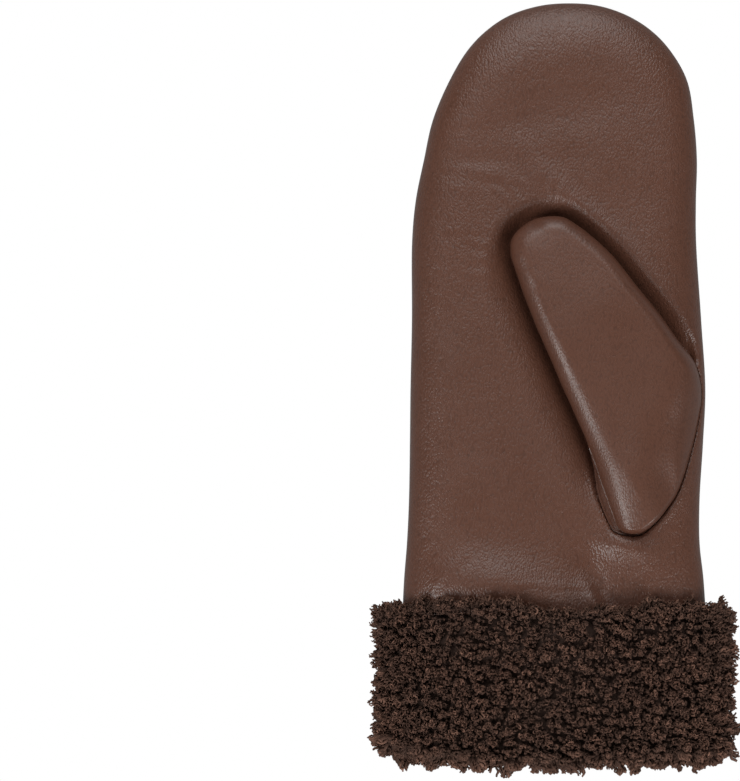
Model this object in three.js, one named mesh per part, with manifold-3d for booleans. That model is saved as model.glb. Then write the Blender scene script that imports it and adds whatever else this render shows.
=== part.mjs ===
// A lined leather mitten for the right hand, lying palm up, with a deep curly fur cuff.
// Millimetres, +Z up. The fingers point to +Y, the thumb side is +X, and z = 0 is the surface it lies on.
import * as THREE from 'three';
import { mergeVertices } from 'three/addons/utils/BufferGeometryUtils.js';
import Module from 'manifold-3d';

const wasm = await Module();
wasm.setup();

// Driving dimensions
const HAND_LENGTH = 222.6; // fingertips to the upper edge of the cuff
const HAND_WIDTH = 106; // leather across the knuckles
const HAND_THICKNESS = 25; // palm to back, at the root of the thumb
const LEATHER = 1.6; // wall of soft leather with its bonded backing
const SEAM_GAP = 0.3; // between two pieces that are sewn together
const CUFF_FIT = 0.6; // between the leather and the cuff's backing
const PALM_EDGE = 20; // how far in from the side seam the palm is still rising
const BACK_EDGE = 22; // the same on the back, which lies flatter
const FULLNESS = { palm: 2.5, back: 2.6, thumb: 2.1 }; // 2 gives an elliptic edge, more a squarer one
const SEAM_HEIGHT = 0.42; // height of the side seam, as a share of the thickness

const THUMB_LENGTH = 122; // foot of the thumb's seam to its tip
const THUMB_WIDTH = 49; // across the root, laid flat
const THUMB_RISE = 8.5; // top of the thumb above the palm
const THUMB_EDGE = 9; // rounding of the thumb's fold and seam
const THUMB_LEAN = 22; // degrees that the thumb leans across the palm
const THUMB_FOOT = { across: 0.478, along: 0.107 }; // where the thumb's seam starts, on the hand
const THUMB_ROOT_DEPTH = 14; // how far the thumb's mould reaches into the hand
const BED_DEPTH = 5; // how deep the thumb presses into the palm
const BED_CLEARANCE = 0.6; // between the thumb and the bed it lies in
const BED_REACH = { fold: 15, seam: 10 }; // width of the hollow beside the thumb
const BED_SLOPE = 1.7; // how hollow its side is: 1 is straight
const CROTCH = { fold: 0.3, seam: 0.42 }; // where the thumb comes free, as shares of its length

const CUFF_HEIGHT = 61.6; // along the forearm
const CUFF_OVERLAP = 12; // how far the leather reaches into the cuff
const PILE = { side: 12, over: 11, under: 9.5 }; // depth of the fur, flattest where it is lain on
const BACKING_SHARE = 0.6; // how much of the pile is dense enough to be a wall
const LOCK_PITCH = 13; // spacing of the locks of fur
const LOCK_SIDES = 5;

const POINT_WIDTH = 1.5; // a raised pin tuck on the back of the hand
const POINT_HEIGHT = 1;
const POINT_ROOT = 0.8; // how far a tuck's root sinks into the leather

// The hand's plan: half widths as shares of half the hand's width, by distance from the cuff
const HAND_SECTIONS = [
  { along: 0.04, left: 1.05, right: 1.043 },
  { along: 0.1, left: 1.03, right: 1.016 },
  { along: 0.17, left: 1.016, right: 1.016 },
  { along: 0.27, left: 1.009, right: 1.042 },
  { along: 0.355, left: 1.005, right: 1.058 },
  { along: 0.47, left: 0.995, right: 1.03 },
  { along: 0.605, left: 0.993, right: 0.995 },
  { along: 0.672, left: 0.967, right: 0.995 },
  { along: 0.738, left: 0.911, right: 1.002 },
  { along: 0.805, left: 0.848, right: 0.981 },
  { along: 0.872, left: 0.729, right: 0.932 },
  { along: 0.922, left: 0.603, right: 0.813 },
  { along: 0.955, left: 0.47, right: 0.68 },
  { along: 0.98, left: 0.309, right: 0.512 },
  { along: 0.996, left: 0.095, right: 0.31 },
];
const FINGERTIP = { along: 1, across: 0.112 };
const WRIST_SHARE = 1.068; // half width where the leather enters the cuff

// The hand from the side: its lift off the surface as a share of the pile under the cuff, and its thickness
const HAND_PROFILE = [
  { along: -0.06, lift: 1, thick: 0.84 },
  { along: 0.08, lift: 0.88, thick: 0.93 },
  { along: 0.25, lift: 0.56, thick: 1 },
  { along: 0.42, lift: 0.36, thick: 1 },
  { along: 0.58, lift: 0.16, thick: 0.97 },
  { along: 0.7, lift: 0, thick: 0.94 },
  { along: 1, lift: 0, thick: 0.78 },
];

// The thumb's plan: its fold and its seam as shares of its width, by distance from its foot
const THUMB_SECTIONS = [
  { up: 0.012, fold: 0.05, seam: 0.28 },
  { up: 0.035, fold: 0, seam: 0.385 },
  { up: 0.07, fold: 0, seam: 0.51 },
  { up: 0.15, fold: 0.008, seam: 0.685 },
  { up: 0.245, fold: 0.02, seam: 0.858 },
  { up: 0.32, fold: 0.02, seam: 0.962 },
  { up: 0.385, fold: 0.015, seam: 1 },
  { up: 0.43, fold: 0.012, seam: 0.995 },
  { up: 0.49, fold: 0.005, seam: 0.95 },
  { up: 0.59, fold: 0, seam: 0.892 },
  { up: 0.7, fold: -0.008, seam: 0.809 },
  { up: 0.81, fold: -0.004, seam: 0.7265 },
  { up: 0.87, fold: 0.005, seam: 0.66 },
  { up: 0.93, fold: 0.02, seam: 0.575 },
  { up: 0.975, fold: 0.082, seam: 0.485 },
];
const THUMB_END = { foot: 0.15, tip: 0.28 }; // where the plan closes, as shares of its width

// Soft folds: centre as shares of the hand, turn in degrees, and half sizes and rise as shares of the thickness
const PALM_FOLDS = [
  { name: 'swell over the cuff', across: -0.35, along: 0, turn: 5, long: 1.45, wide: 0.56, rise: 0.13 },
  { name: 'dip beside the foot', across: 0.27, along: 0.085, turn: 100, long: 0.55, wide: 0.22, rise: -0.05 },
  { name: 'roll under the foot', across: 0.6, along: 0.05, turn: 4, long: 0.7, wide: 0.3, rise: 0.05 },
  { name: 'fold at the knuckles', across: -0.75, along: 0.73, turn: 4, long: 1.2, wide: 0.2, rise: -0.035 },
  { name: 'rim beyond the thumb', across: 0.32, along: 0.62, turn: -47, long: 1.5, wide: 0.22, rise: 0.05 },
];
const BACK_FOLDS = [
  { name: 'dip at the heel', across: -0.6, along: 0.16, turn: 24, long: 1.1, wide: 0.4, rise: -0.04 },
  { name: 'dip above the cuff', across: 0.25, along: 0.07, turn: -8, long: 1.2, wide: 0.35, rise: -0.05 },
];

// The three tucks on the back of the hand, from their wrist end to their knuckle end
const POINTS = [
  { from: { across: -0.23, along: 0.228 }, to: { across: -0.405, along: 0.535 } },
  { from: { across: 0.025, along: 0.244 }, to: { across: 0.03, along: 0.576 } },
  { from: { across: 0.3, along: 0.235 }, to: { across: 0.475, along: 0.548 } },
];

// Mesh fineness
const PALM_GRID = { rows: 30, columns: 18 };
const BACK_GRID = { rows: 24, columns: 12 };
const THUMB_GRID = { rows: 22, columns: 10 };
const CUFF_COLUMNS = 16;
const OUTLINE_SAMPLES = 300;
const POINT_STEPS = 8;
const COARSENESS = { leather: 0.04, fur: 0.3 }; // how far a skin may stray where it is thinned out

// Places worked out from the sizes
const CUFF_TOP = CUFF_HEIGHT - (HAND_LENGTH + CUFF_HEIGHT) / 2;
const CUFF_BOTTOM = CUFF_TOP - CUFF_HEIGHT;
const WRIST = CUFF_TOP - CUFF_OVERLAP;
const acrossHand = (share) => (share * HAND_WIDTH) / 2;
const alongHand = (share) => CUFF_TOP + share * HAND_LENGTH;
const handShare = (y) => (y - CUFF_TOP) / HAND_LENGTH;

const leather = new THREE.MeshStandardMaterial({ color: 0x5e4339, roughness: 0.45, metalness: 0 });
const fur = new THREE.MeshStandardMaterial({ color: 0x35251f, roughness: 0.95, metalness: 0 });

const mix = THREE.MathUtils.lerp;
const ease = (low, high, x) => THREE.MathUtils.smoothstep(x, low, high);

/** A smooth curve through a table's column, level at its ends and never past its rows. */
function tableAt(rows, place, column, at) {
  const last = rows.length - 1;
  if (at <= rows[0][place]) return rows[0][column];
  if (at >= rows[last][place]) return rows[last][column];
  const i = rows.findIndex((row) => row[place] > at) - 1;
  const slope = (k) => (rows[k + 1][column] - rows[k][column]) / (rows[k + 1][place] - rows[k][place]);
  const tangent = (k) => {
    if (k === 0 || k === last) return 0;
    const [before, after] = [slope(k - 1), slope(k)];
    return before * after <= 0 ? 0 : (2 * before * after) / (before + after);
  };
  const span = rows[i + 1][place] - rows[i][place];
  const t = (at - rows[i][place]) / span;
  const [t2, t3] = [t * t, t * t * t];
  return (
    (2 * t3 - 3 * t2 + 1) * rows[i][column] +
    (t3 - 2 * t2 + t) * span * tangent(i) +
    (3 * t2 - 2 * t3) * rows[i + 1][column] +
    (t3 - t2) * span * tangent(i + 1)
  );
}

/** Rises from 0 at a seam to 1 at `edge` from it, round as a stuffed edge is. */
function rounding(distance, edge, power) {
  const t = THREE.MathUtils.clamp(distance / edge, 0, 1);
  return (1 - (1 - t) ** power) ** (1 / power);
}

/** How far a point in plan lies from a curve's sampled points. */
function distanceTo(samples, x, y) {
  let least = Infinity;
  for (let i = 1; i < samples.length; i += 1) {
    const [a, b] = [samples[i - 1], samples[i]];
    const [dx, dy] = [b.x - a.x, b.y - a.y];
    const t = THREE.MathUtils.clamp(((x - a.x) * dx + (y - a.y) * dy) / (dx * dx + dy * dy || 1), 0, 1);
    least = Math.min(least, Math.hypot(x - a.x - t * dx, y - a.y - t * dy));
  }
  return least;
}

/** Whether a point in plan lies inside a closed curve's sampled points. */
function isInside(samples, x, y) {
  let inside = false;
  for (let i = 1; i < samples.length; i += 1) {
    const [a, b] = [samples[i - 1], samples[i]];
    if (a.y > y !== b.y > y && x < a.x + ((y - a.y) * (b.x - a.x)) / (b.y - a.y)) inside = !inside;
  }
  return inside;
}

// The hand's outline, from the little finger's side of the wrist round the fingertips
function handOutline(wrist) {
  const half = acrossHand(WRIST_SHARE);
  const side = (column, sign) =>
    HAND_SECTIONS.map((row) => new THREE.Vector3(sign * acrossHand(row[column]), alongHand(row.along), 0));
  const tip = new THREE.Vector3(acrossHand(FINGERTIP.across), alongHand(FINGERTIP.along), 0);
  const points = [
    new THREE.Vector3(-half, wrist, 0),
    ...side('left', -1),
    tip,
    ...side('right', 1).reverse(),
    new THREE.Vector3(half, wrist, 0),
  ];
  return new THREE.CatmullRomCurve3(points, false, 'centripetal');
}
const handSamples = (() => {
  const below = new THREE.Vector3(0, -CUFF_HEIGHT, 0);
  const samples = handOutline(WRIST).getSpacedPoints(OUTLINE_SAMPLES);
  return [samples[0].clone().add(below), ...samples, samples.at(-1).clone().add(below)];
})();

// The thumb's outline, from its foot up the fold, round the tip and down the seam
const lean = THREE.MathUtils.degToRad(THUMB_LEAN);
const thumbUp = new THREE.Vector2(-Math.sin(lean), Math.cos(lean));
const thumbAcross = new THREE.Vector2(Math.cos(lean), Math.sin(lean));
const thumbFoot = new THREE.Vector2(acrossHand(THUMB_FOOT.across), alongHand(THUMB_FOOT.along));
function thumbPlace(up, across) {
  const place = thumbFoot.clone();
  place.addScaledVector(thumbUp, up * THUMB_LENGTH).addScaledVector(thumbAcross, across * THUMB_WIDTH);
  return new THREE.Vector3(place.x, place.y, 0);
}
function thumbShares(x, y) {
  const from = new THREE.Vector2(x, y).sub(thumbFoot);
  return { up: from.dot(thumbUp) / THUMB_LENGTH, across: from.dot(thumbAcross) / THUMB_WIDTH };
}
const thumbOutline = new THREE.CatmullRomCurve3(
  [
    thumbPlace(0, THUMB_END.foot),
    ...THUMB_SECTIONS.map((row) => thumbPlace(row.up, row.fold)),
    thumbPlace(1, THUMB_END.tip),
    ...THUMB_SECTIONS.map((row) => thumbPlace(row.up, row.seam)).reverse(),
  ],
  true,
  'centripetal',
);
const thumbSamples = thumbOutline.getSpacedPoints(OUTLINE_SAMPLES);

// Heights of the hand's skins
const under = (y) => PILE.under * tableAt(HAND_PROFILE, 'along', 'lift', handShare(y));
const thickness = (y) => HAND_THICKNESS * tableAt(HAND_PROFILE, 'along', 'thick', handShare(y));
const seamHeight = (y) => under(y) + SEAM_HEIGHT * thickness(y);

function foldHeight(folds, x, y) {
  return folds.reduce((sum, fold) => {
    const turn = THREE.MathUtils.degToRad(fold.turn);
    const [dx, dy] = [x - acrossHand(fold.across), y - alongHand(fold.along)];
    const a = (dx * Math.cos(turn) + dy * Math.sin(turn)) / (fold.long * HAND_THICKNESS);
    const b = (dy * Math.cos(turn) - dx * Math.sin(turn)) / (fold.wide * HAND_THICKNESS);
    return sum + fold.rise * HAND_THICKNESS * Math.exp(-a * a - b * b);
  }, 0);
}

/** The palm before the thumb presses into it; `inset` moves the skin inwards. */
function palmLevel(x, y, inset = 0) {
  const distance = distanceTo(handSamples, x, y) - inset;
  const rise = rounding(distance, PALM_EDGE - inset, FULLNESS.palm);
  const base = seamHeight(y) + SEAM_GAP / 2;
  return base + (under(y) + thickness(y) - inset - base) * rise + foldHeight(PALM_FOLDS, x, y) * rise * rise;
}

/** How far past the thumb's crotch a point lies, as a share of the thumb's length. */
function pastCrotch(x, y) {
  const { up, across } = thumbShares(x, y);
  return up - mix(CROTCH.fold, CROTCH.seam, THREE.MathUtils.clamp(across, 0, 1));
}

/** Depth of the hollow that the thumb presses into the palm. */
function bedDepth(x, y) {
  const { up, across } = thumbShares(x, y);
  const seam = tableAt(THUMB_SECTIONS, 'up', 'seam', up);
  const seamSide = ease(0.25, 0.75, across / seam);
  const past = pastCrotch(x, y);
  const start = mix(ease(-0.24, -0.03, past), ease(-0.03, 0.01, past), seamSide);
  const outside = isInside(thumbSamples, x, y) ? 0 : distanceTo(thumbSamples, x, y);
  const reach = mix(BED_REACH.fold, BED_REACH.seam, seamSide);
  const nearSeam = ease(0, 6, distanceTo(handSamples, x, y));
  const slope = Math.max(1 - outside / reach, 0);
  return BED_DEPTH * start * nearSeam * slope ** BED_SLOPE;
}
const palmSkin = (inset) => (x, y) => palmLevel(x, y, inset) - bedDepth(x, y);
const backSkin = (inset) => (x, y) => {
  const distance = distanceTo(handSamples, x, y) - inset;
  const rise = rounding(distance, BACK_EDGE - inset, FULLNESS.back);
  const base = seamHeight(y) - SEAM_GAP / 2;
  const lifted = ease(0, PILE.under / 4, under(y)); // the part that the surface presses flat has no folds
  return base + (under(y) + inset - base) * rise - foldHeight(BACK_FOLDS, x, y) * rise * lifted;
};

// Heights of the thumb's skins, measured from the palm
const thumbTop = (inset) => (x, y) => {
  const rise = rounding(distanceTo(thumbSamples, x, y) - inset, THUMB_EDGE - inset, FULLNESS.thumb);
  return palmLevel(x, y) + (THUMB_RISE - inset) * rise;
};
const thumbBottom = (inset) => (x, y) => {
  const free = ease(-0.03, 0.03, pastCrotch(x, y));
  const depth = mix(THUMB_ROOT_DEPTH, bedDepth(x, y) - BED_CLEARANCE, free);
  const drop = rounding(distanceTo(thumbSamples, x, y) - inset, THUMB_EDGE - inset, FULLNESS.thumb);
  return palmLevel(x, y) - (depth - inset) * drop;
};

/** Triangles gathered into one closed solid. */
class Skin {
  constructor() {
    this.positions = [];
  }

  triangle(a, b, c) {
    if (a.equals(b) || b.equals(c) || c.equals(a)) return;
    this.positions.push(...a, ...b, ...c);
  }

  quad(a, b, c, d) {
    this.triangle(a, b, c);
    this.triangle(a, c, d);
  }

  /** A sheet of rows of points; `up` faces it upwards when rows run to +Y and columns to +X. */
  sheet(rows, up) {
    for (let i = 1; i < rows.length; i += 1) {
      for (let j = 1; j < rows[i].length; j += 1) {
        const [a, b, c, d] = [rows[i - 1][j - 1], rows[i - 1][j], rows[i][j], rows[i][j - 1]];
        if (up) this.quad(a, b, c, d);
        else this.quad(a, d, c, b);
      }
    }
    return this;
  }

  solid() {
    const geometry = new THREE.BufferGeometry();
    geometry.setAttribute('position', new THREE.Float32BufferAttribute(this.positions, 3));
    return solidOf(geometry);
  }
}

/** A closed three.js geometry as a solid that can be joined and cut. */
function solidOf(geometry) {
  const bare = geometry.clone();
  bare.deleteAttribute('normal');
  bare.deleteAttribute('uv');
  const merged = mergeVertices(bare, 1e-4);
  return new wasm.Manifold(
    new wasm.Mesh({
      numProp: 3,
      vertProperties: merged.attributes.position.array,
      triVerts: new Uint32Array(merged.index.array),
    }),
  );
}

function meshOf(name, solid, material, coarseness) {
  const { numVert, numProp, vertProperties, triVerts } = solid.simplify(coarseness).getMesh();
  const positions = new Float32Array(numVert * 3);
  for (let i = 0; i < numVert; i += 1) {
    positions.set(vertProperties.subarray(i * numProp, i * numProp + 3), i * 3);
  }
  const geometry = new THREE.BufferGeometry();
  geometry.setAttribute('position', new THREE.BufferAttribute(positions, 3));
  geometry.setIndex(new THREE.BufferAttribute(triVerts, 1));
  geometry.computeVertexNormals();
  const mesh = new THREE.Mesh(geometry, material);
  mesh.name = name;
  return mesh;
}

/**
 * Rungs across a plan outline from its foot to its tip, closer together near the edges, with a
 * height at each point. Points on the outline itself take the edge's height.
 */
function rungs(curve, grid, inset, edgeHeight, height) {
  const place = (t) => {
    const [point, along] = [curve.getPointAt(t), curve.getTangentAt(t)];
    return new THREE.Vector2(point.x + along.y * inset, point.y - along.x * inset);
  };
  const rows = [];
  for (let i = 0; i <= grid.rows; i += 1) {
    const [left, right] = [place((0.5 * i) / grid.rows), place(1 - (0.5 * i) / grid.rows)];
    const closed = left.distanceTo(right) < 1e-3;
    const row = [];
    for (let j = 0; j <= grid.columns; j += 1) {
      const share = (1 - Math.cos((Math.PI * j) / grid.columns)) / 2;
      const { x, y } = closed ? left : left.clone().lerp(right, share);
      const onEdge = closed || j === 0 || j === grid.columns;
      row.push(new THREE.Vector3(x, y, onEdge ? edgeHeight(x, y) : height(x, y)));
    }
    rows.push(row);
  }
  return rows;
}

/** The wall between an outer and an inner sheet that share a foot edge and a rim round the outline. */
function wall(outer, inner, up) {
  const skin = new Skin().sheet(outer, up).sheet(inner, !up);
  const rim = (rows) => [
    ...rows[0].slice().reverse(),
    ...rows.slice(1).map((row) => row[0]),
    ...rows.slice(1, -1).reverse().map((row) => row.at(-1)),
    rows[0].at(-1),
  ];
  const [outerRim, innerRim] = [rim(outer), rim(inner)];
  for (let i = 1; i < outerRim.length; i += 1) {
    const ring = [outerRim[i - 1], outerRim[i], innerRim[i], innerRim[i - 1]];
    if (up) skin.quad(...ring);
    else skin.quad(ring[0], ring[3], ring[2], ring[1]);
  }
  return skin.solid();
}

/** A solid between a bottom and a top sheet that meet round the outline. */
function cushion(top, bottom) {
  const skin = new Skin().sheet(top, true).sheet(bottom, false);
  const [high, low] = [top[0], bottom[0]];
  for (let j = 1; j < high.length; j += 1) skin.quad(low[j - 1], low[j], high[j], high[j - 1]);
  return skin.solid();
}

/** A solid through closed loops of points, with flat ends. */
function loft(loops) {
  const skin = new Skin();
  const count = loops[0].length;
  for (let i = 1; i < loops.length; i += 1) {
    for (let j = 0; j < count; j += 1) {
      const k = (j + 1) % count;
      skin.quad(loops[i - 1][j], loops[i - 1][k], loops[i][k], loops[i][j]);
    }
  }
  for (const [loop, first] of [[loops[0], true], [loops.at(-1), false]]) {
    const centre = loop.reduce((sum, point) => sum.add(point), new THREE.Vector3()).divideScalar(count);
    for (let j = 0; j < count; j += 1) {
      const [a, b] = [loop[j], loop[(j + 1) % count]];
      if (first) skin.triangle(centre, b, a);
      else skin.triangle(centre, a, b);
    }
  }
  return skin.solid();
}

// The hand as solids: its outer form grown by a margin, and the space inside it
const seamAt = (x, y) => seamHeight(y);
function handForm(inset, wrist) {
  const outline = handOutline(wrist);
  const top = rungs(outline, BACK_GRID, inset, seamAt, (x, y) => palmSkin(inset)(x, y));
  const bottom = rungs(outline, BACK_GRID, inset, seamAt, (x, y) => backSkin(inset)(x, y));
  return cushion(top, bottom);
}
function thumbForm(inset) {
  const edge = (x, y) => palmLevel(x, y);
  const top = rungs(thumbOutline, THUMB_GRID, inset, edge, thumbTop(inset));
  const bottom = rungs(thumbOutline, THUMB_GRID, inset, edge, thumbBottom(inset));
  return new Skin().sheet(top, true).sheet(bottom, false).solid();
}

function palmPanel() {
  const rim = (x, y) => seamHeight(y) + SEAM_GAP / 2;
  const outline = handOutline(WRIST);
  const outer = rungs(outline, PALM_GRID, 0, rim, palmSkin(0));
  const inner = rungs(outline, PALM_GRID, LEATHER, rim, palmSkin(LEATHER));
  return wall(outer, inner, true).subtract(thumbForm(-SEAM_GAP));
}

function tuck({ from, to }) {
  const [start, end] = [from, to].map((at) => new THREE.Vector2(acrossHand(at.across), alongHand(at.along)));
  const side = end.clone().sub(start).normalize().rotateAround(new THREE.Vector2(), -Math.PI / 2);
  const loops = [];
  for (let i = 0; i <= POINT_STEPS; i += 1) {
    const { x, y } = start.clone().lerp(end, i / POINT_STEPS);
    const ends = i === 0 || i === POINT_STEPS;
    const skin = backSkin(0)(x, y);
    const corner = (share, z) =>
      new THREE.Vector3(x + side.x * share * POINT_WIDTH, y + side.y * share * POINT_WIDTH, skin + z);
    const height = POINT_HEIGHT * (ends ? 0.2 : 1);
    loops.push([
      corner(-0.5, POINT_ROOT),
      corner(0.5, POINT_ROOT),
      corner(0.5, -0.5 * height),
      corner(0.25, -height),
      corner(-0.25, -height),
      corner(-0.5, -0.5 * height),
    ]);
  }
  return loft(loops);
}

function backPanel() {
  const rim = (x, y) => seamHeight(y) - SEAM_GAP / 2;
  const outline = handOutline(WRIST);
  const outer = rungs(outline, BACK_GRID, 0, rim, backSkin(0));
  const inner = rungs(outline, BACK_GRID, LEATHER, rim, backSkin(LEATHER));
  return POINTS.reduce((panel, point) => panel.add(tuck(point)), wall(outer, inner, false));
}

function thumb(handSpace) {
  return thumbForm(0).subtract(thumbForm(LEATHER)).subtract(handSpace);
}

/** The leather's section at one place, moved outwards; it runs round from the little finger's side. */
function sectionLoop(at, y, outwards) {
  const half = acrossHand(WRIST_SHARE);
  const points = [];
  for (let j = 0; j < 2 * CUFF_COLUMNS; j += 1) {
    const x = -half * Math.cos((Math.PI * j) / CUFF_COLUMNS);
    const side = j % CUFF_COLUMNS === 0 ? seamAt : j < CUFF_COLUMNS ? palmSkin(0) : backSkin(0);
    points.push(new THREE.Vector2(x, side(x, at)));
  }
  return points.map((point, j) => {
    const before = points.at(j - 1);
    const after = points[(j + 1) % points.length];
    const normal = new THREE.Vector2(before.y - after.y, after.x - before.x).normalize();
    const far = outwards(normal);
    return new THREE.Vector3(point.x + normal.x * far, y, point.y + normal.y * far);
  });
}
const pileDepth = (normal) =>
  mix(PILE.side, normal.y > 0 ? PILE.over : PILE.under, normal.y * normal.y);

/** One lock of fur: a blunt tuft that leans over from its root. */
function lock(root, normal, tangent, size) {
  const side = new THREE.Vector3().crossVectors(normal, tangent).normalize();
  const rings = [
    { out: -0.5, wide: 0.44, lean: 0 },
    { out: 0.45, wide: 0.47, lean: 0.15 },
    { out: 1, wide: 0.2, lean: 0.5 },
  ];
  return loft(
    rings.map((ring) =>
      Array.from({ length: LOCK_SIDES }, (_, k) => {
        const turn = (2 * Math.PI * k) / LOCK_SIDES;
        return root
          .clone()
          .addScaledVector(normal, ring.out * size.out)
          .addScaledVector(tangent, (ring.wide * Math.cos(turn) + ring.lean * size.lean) * size.wide)
          .addScaledVector(side, ring.wide * Math.sin(turn) * size.wide);
      }),
    ),
  );
}

function furCuff() {
  const backingEnd = LOCK_PITCH * 0.35;
  const backing = (share) => (normal) => pileDepth(normal) * BACKING_SHARE * share;
  const ends = [
    { y: CUFF_BOTTOM + backingEnd * 0.5, share: 0.72 },
    { y: CUFF_BOTTOM + backingEnd * 1.6, share: 1 },
    { y: CUFF_TOP - backingEnd * 1.6, share: 1 },
    { y: CUFF_TOP - backingEnd * 0.6, share: 0.72 },
  ];
  let cuff = loft(ends.map(({ y, share }) => sectionLoop(Math.max(y, WRIST), y, backing(share))));

  // Rows of locks round the cuff, each row shifted by half a lock
  const lockRows = Math.round(CUFF_HEIGHT / LOCK_PITCH);
  const rowGap = (CUFF_HEIGHT - 1.2 * LOCK_PITCH) / (lockRows - 1);
  const locks = [];
  for (let row = 0; row < lockRows; row += 1) {
    const y = CUFF_BOTTOM + 0.7 * LOCK_PITCH + row * rowGap;
    const loop = sectionLoop(Math.max(y, WRIST), y, backing(1));
    const ring = new THREE.CatmullRomCurve3(loop, true, 'centripetal');
    const count = Math.round(ring.getLength() / LOCK_PITCH);
    for (let i = 0; i < count; i += 1) {
      const t = ((i + (row % 2) / 2) / count) % 1;
      const root = ring.getPointAt(t);
      const round = ring.getTangentAt(t);
      const normal = new THREE.Vector3(-round.z, 0, round.x);
      const wobble = Math.sin(12.9 * i + 78.2 * row);
      const end = row === 0 ? -1 : row === lockRows - 1 ? 1 : 0;
      normal.y = 0.35 * end;
      normal.normalize();
      const out = pileDepth(new THREE.Vector2(normal.x, normal.z)) * (1 - BACKING_SHARE) * (1 + 0.08 * wobble);
      const tangent = new THREE.Vector3(0, end < 1 ? -1 : 1, 0).addScaledVector(round, 0.6 * wobble);
      tangent.addScaledVector(normal, -tangent.dot(normal)).normalize();
      locks.push(lock(root, normal, tangent, { out, wide: LOCK_PITCH, lean: 0.5 + 0.5 * wobble }));
    }
  }
  cuff = wasm.Manifold.union([cuff, ...locks]);

  // The way through for the hand, the seat for the leather, and the surface that the fur is flattened on
  const inwards = () => -LEATHER;
  const past = 2 * LOCK_PITCH;
  const passage = loft([CUFF_BOTTOM - past, WRIST].map((y) => sectionLoop(WRIST, y, inwards)));
  const table = new THREE.BoxGeometry(4 * HAND_WIDTH, 4 * CUFF_HEIGHT, past);
  table.translate(0, CUFF_BOTTOM, -past / 2);
  return cuff.subtract(passage).subtract(handForm(-CUFF_FIT, WRIST - CUFF_FIT)).subtract(solidOf(table));
}

const mitten = new THREE.Group();
mitten.name = 'leather_mitten';
mitten.add(meshOf('palm_panel', palmPanel(), leather, COARSENESS.leather));
mitten.add(meshOf('back_panel', backPanel(), leather, COARSENESS.leather));
mitten.add(meshOf('thumb', thumb(handForm(LEATHER, WRIST)), leather, COARSENESS.leather));
mitten.add(meshOf('fur_cuff', furCuff(), fur, COARSENESS.fur));

export default mitten;
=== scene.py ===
# %% [markdown]
# # A leather mitten with a fur cuff
#
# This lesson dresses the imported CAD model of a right-hand leather mitten. It lies palm up, with its thumb
# folded across the palm and a deep cuff of curly fur at the wrist. Each cell takes one step and prints
# what it made. Lengths are worked out in millimetres, as a glove maker would give them, and are turned
# into metres where a mesh is made.

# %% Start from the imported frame
import math

import bpy
import numpy as np
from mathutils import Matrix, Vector


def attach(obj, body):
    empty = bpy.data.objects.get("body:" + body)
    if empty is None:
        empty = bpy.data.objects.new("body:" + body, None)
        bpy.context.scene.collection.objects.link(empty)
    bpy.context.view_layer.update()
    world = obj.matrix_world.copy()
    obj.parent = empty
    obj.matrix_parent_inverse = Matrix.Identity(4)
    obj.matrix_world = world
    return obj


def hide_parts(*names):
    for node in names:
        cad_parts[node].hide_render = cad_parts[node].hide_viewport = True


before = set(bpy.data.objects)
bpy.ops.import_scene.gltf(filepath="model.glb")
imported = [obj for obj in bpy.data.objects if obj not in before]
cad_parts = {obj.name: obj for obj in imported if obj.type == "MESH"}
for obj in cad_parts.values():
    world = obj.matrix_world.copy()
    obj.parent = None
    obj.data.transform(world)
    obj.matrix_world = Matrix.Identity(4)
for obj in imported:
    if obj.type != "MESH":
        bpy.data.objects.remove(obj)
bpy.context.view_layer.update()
MM = 0.001
rng = np.random.default_rng(11)
print("frame", sorted(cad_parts))

# %% [markdown]
# ## Sizes
#
# The mitten is cut from flat panels, so its form is given as a pattern cutter would give it: the outline
# of the hand and of the thumb as half widths at a row of places, and the height at which each lies. The
# same tables shape the CAD solids, so the dressed pieces lie where the solids lie. Shares are of half
# the hand's width and of the hand's length, counted from the cuff's upper edge.

# %% Tables of the mitten's form
HAND_LENGTH = 222.6
HAND_WIDTH = 106.0
HAND_THICKNESS = 25.0
LEATHER = 1.6
SEAM_GAP = 0.3
PALM_EDGE = 20.0
BACK_EDGE = 22.0
FULLNESS = {"palm": 2.5, "back": 2.6, "thumb": 2.1}
SEAM_HEIGHT = 0.42
THUMB_LENGTH = 122.0
THUMB_WIDTH = 49.0
THUMB_RISE = 8.5
THUMB_EDGE = 9.0
THUMB_FOLD = {"foot": 7.0, "foot_shoulder": 21.0, "tip": 6.5, "tip_shoulder": 13.0}
SHOULDER_SHARE = {"foot": 0.52, "tip": 0.16}
THUMB_SINK = {"share": 0.36, "below": 0.24}
THUMB_LEAN = math.radians(22)
THUMB_FOOT = {"across": 0.478, "along": 0.107}
THUMB_ROOT_DEPTH = 14.0
BED_DEPTH = 5.6
BED_CLEARANCE = 0.6
BED_REACH = {"fold": 15.0, "tip": 8.0, "seam": 8.0}
GROOVE = {"depth": 0.9, "wide": 0.5}
GROOVE_LIP = {"rise": 0.3, "at": 1.7, "wide": 1.2}
STRIP_STEP = 1.2
CROTCH = {"fold": 0.3, "seam": 0.42}
CUFF_HEIGHT = 61.6
CUFF_OVERLAP = 12.0
PILE_SIDE, PILE_OVER, PILE_UNDER = 12.0, 11.0, 9.5

CUFF_TOP = CUFF_HEIGHT - (HAND_LENGTH + CUFF_HEIGHT) / 2
CUFF_BOTTOM = CUFF_TOP - CUFF_HEIGHT
WRIST = CUFF_TOP - CUFF_OVERLAP

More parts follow.
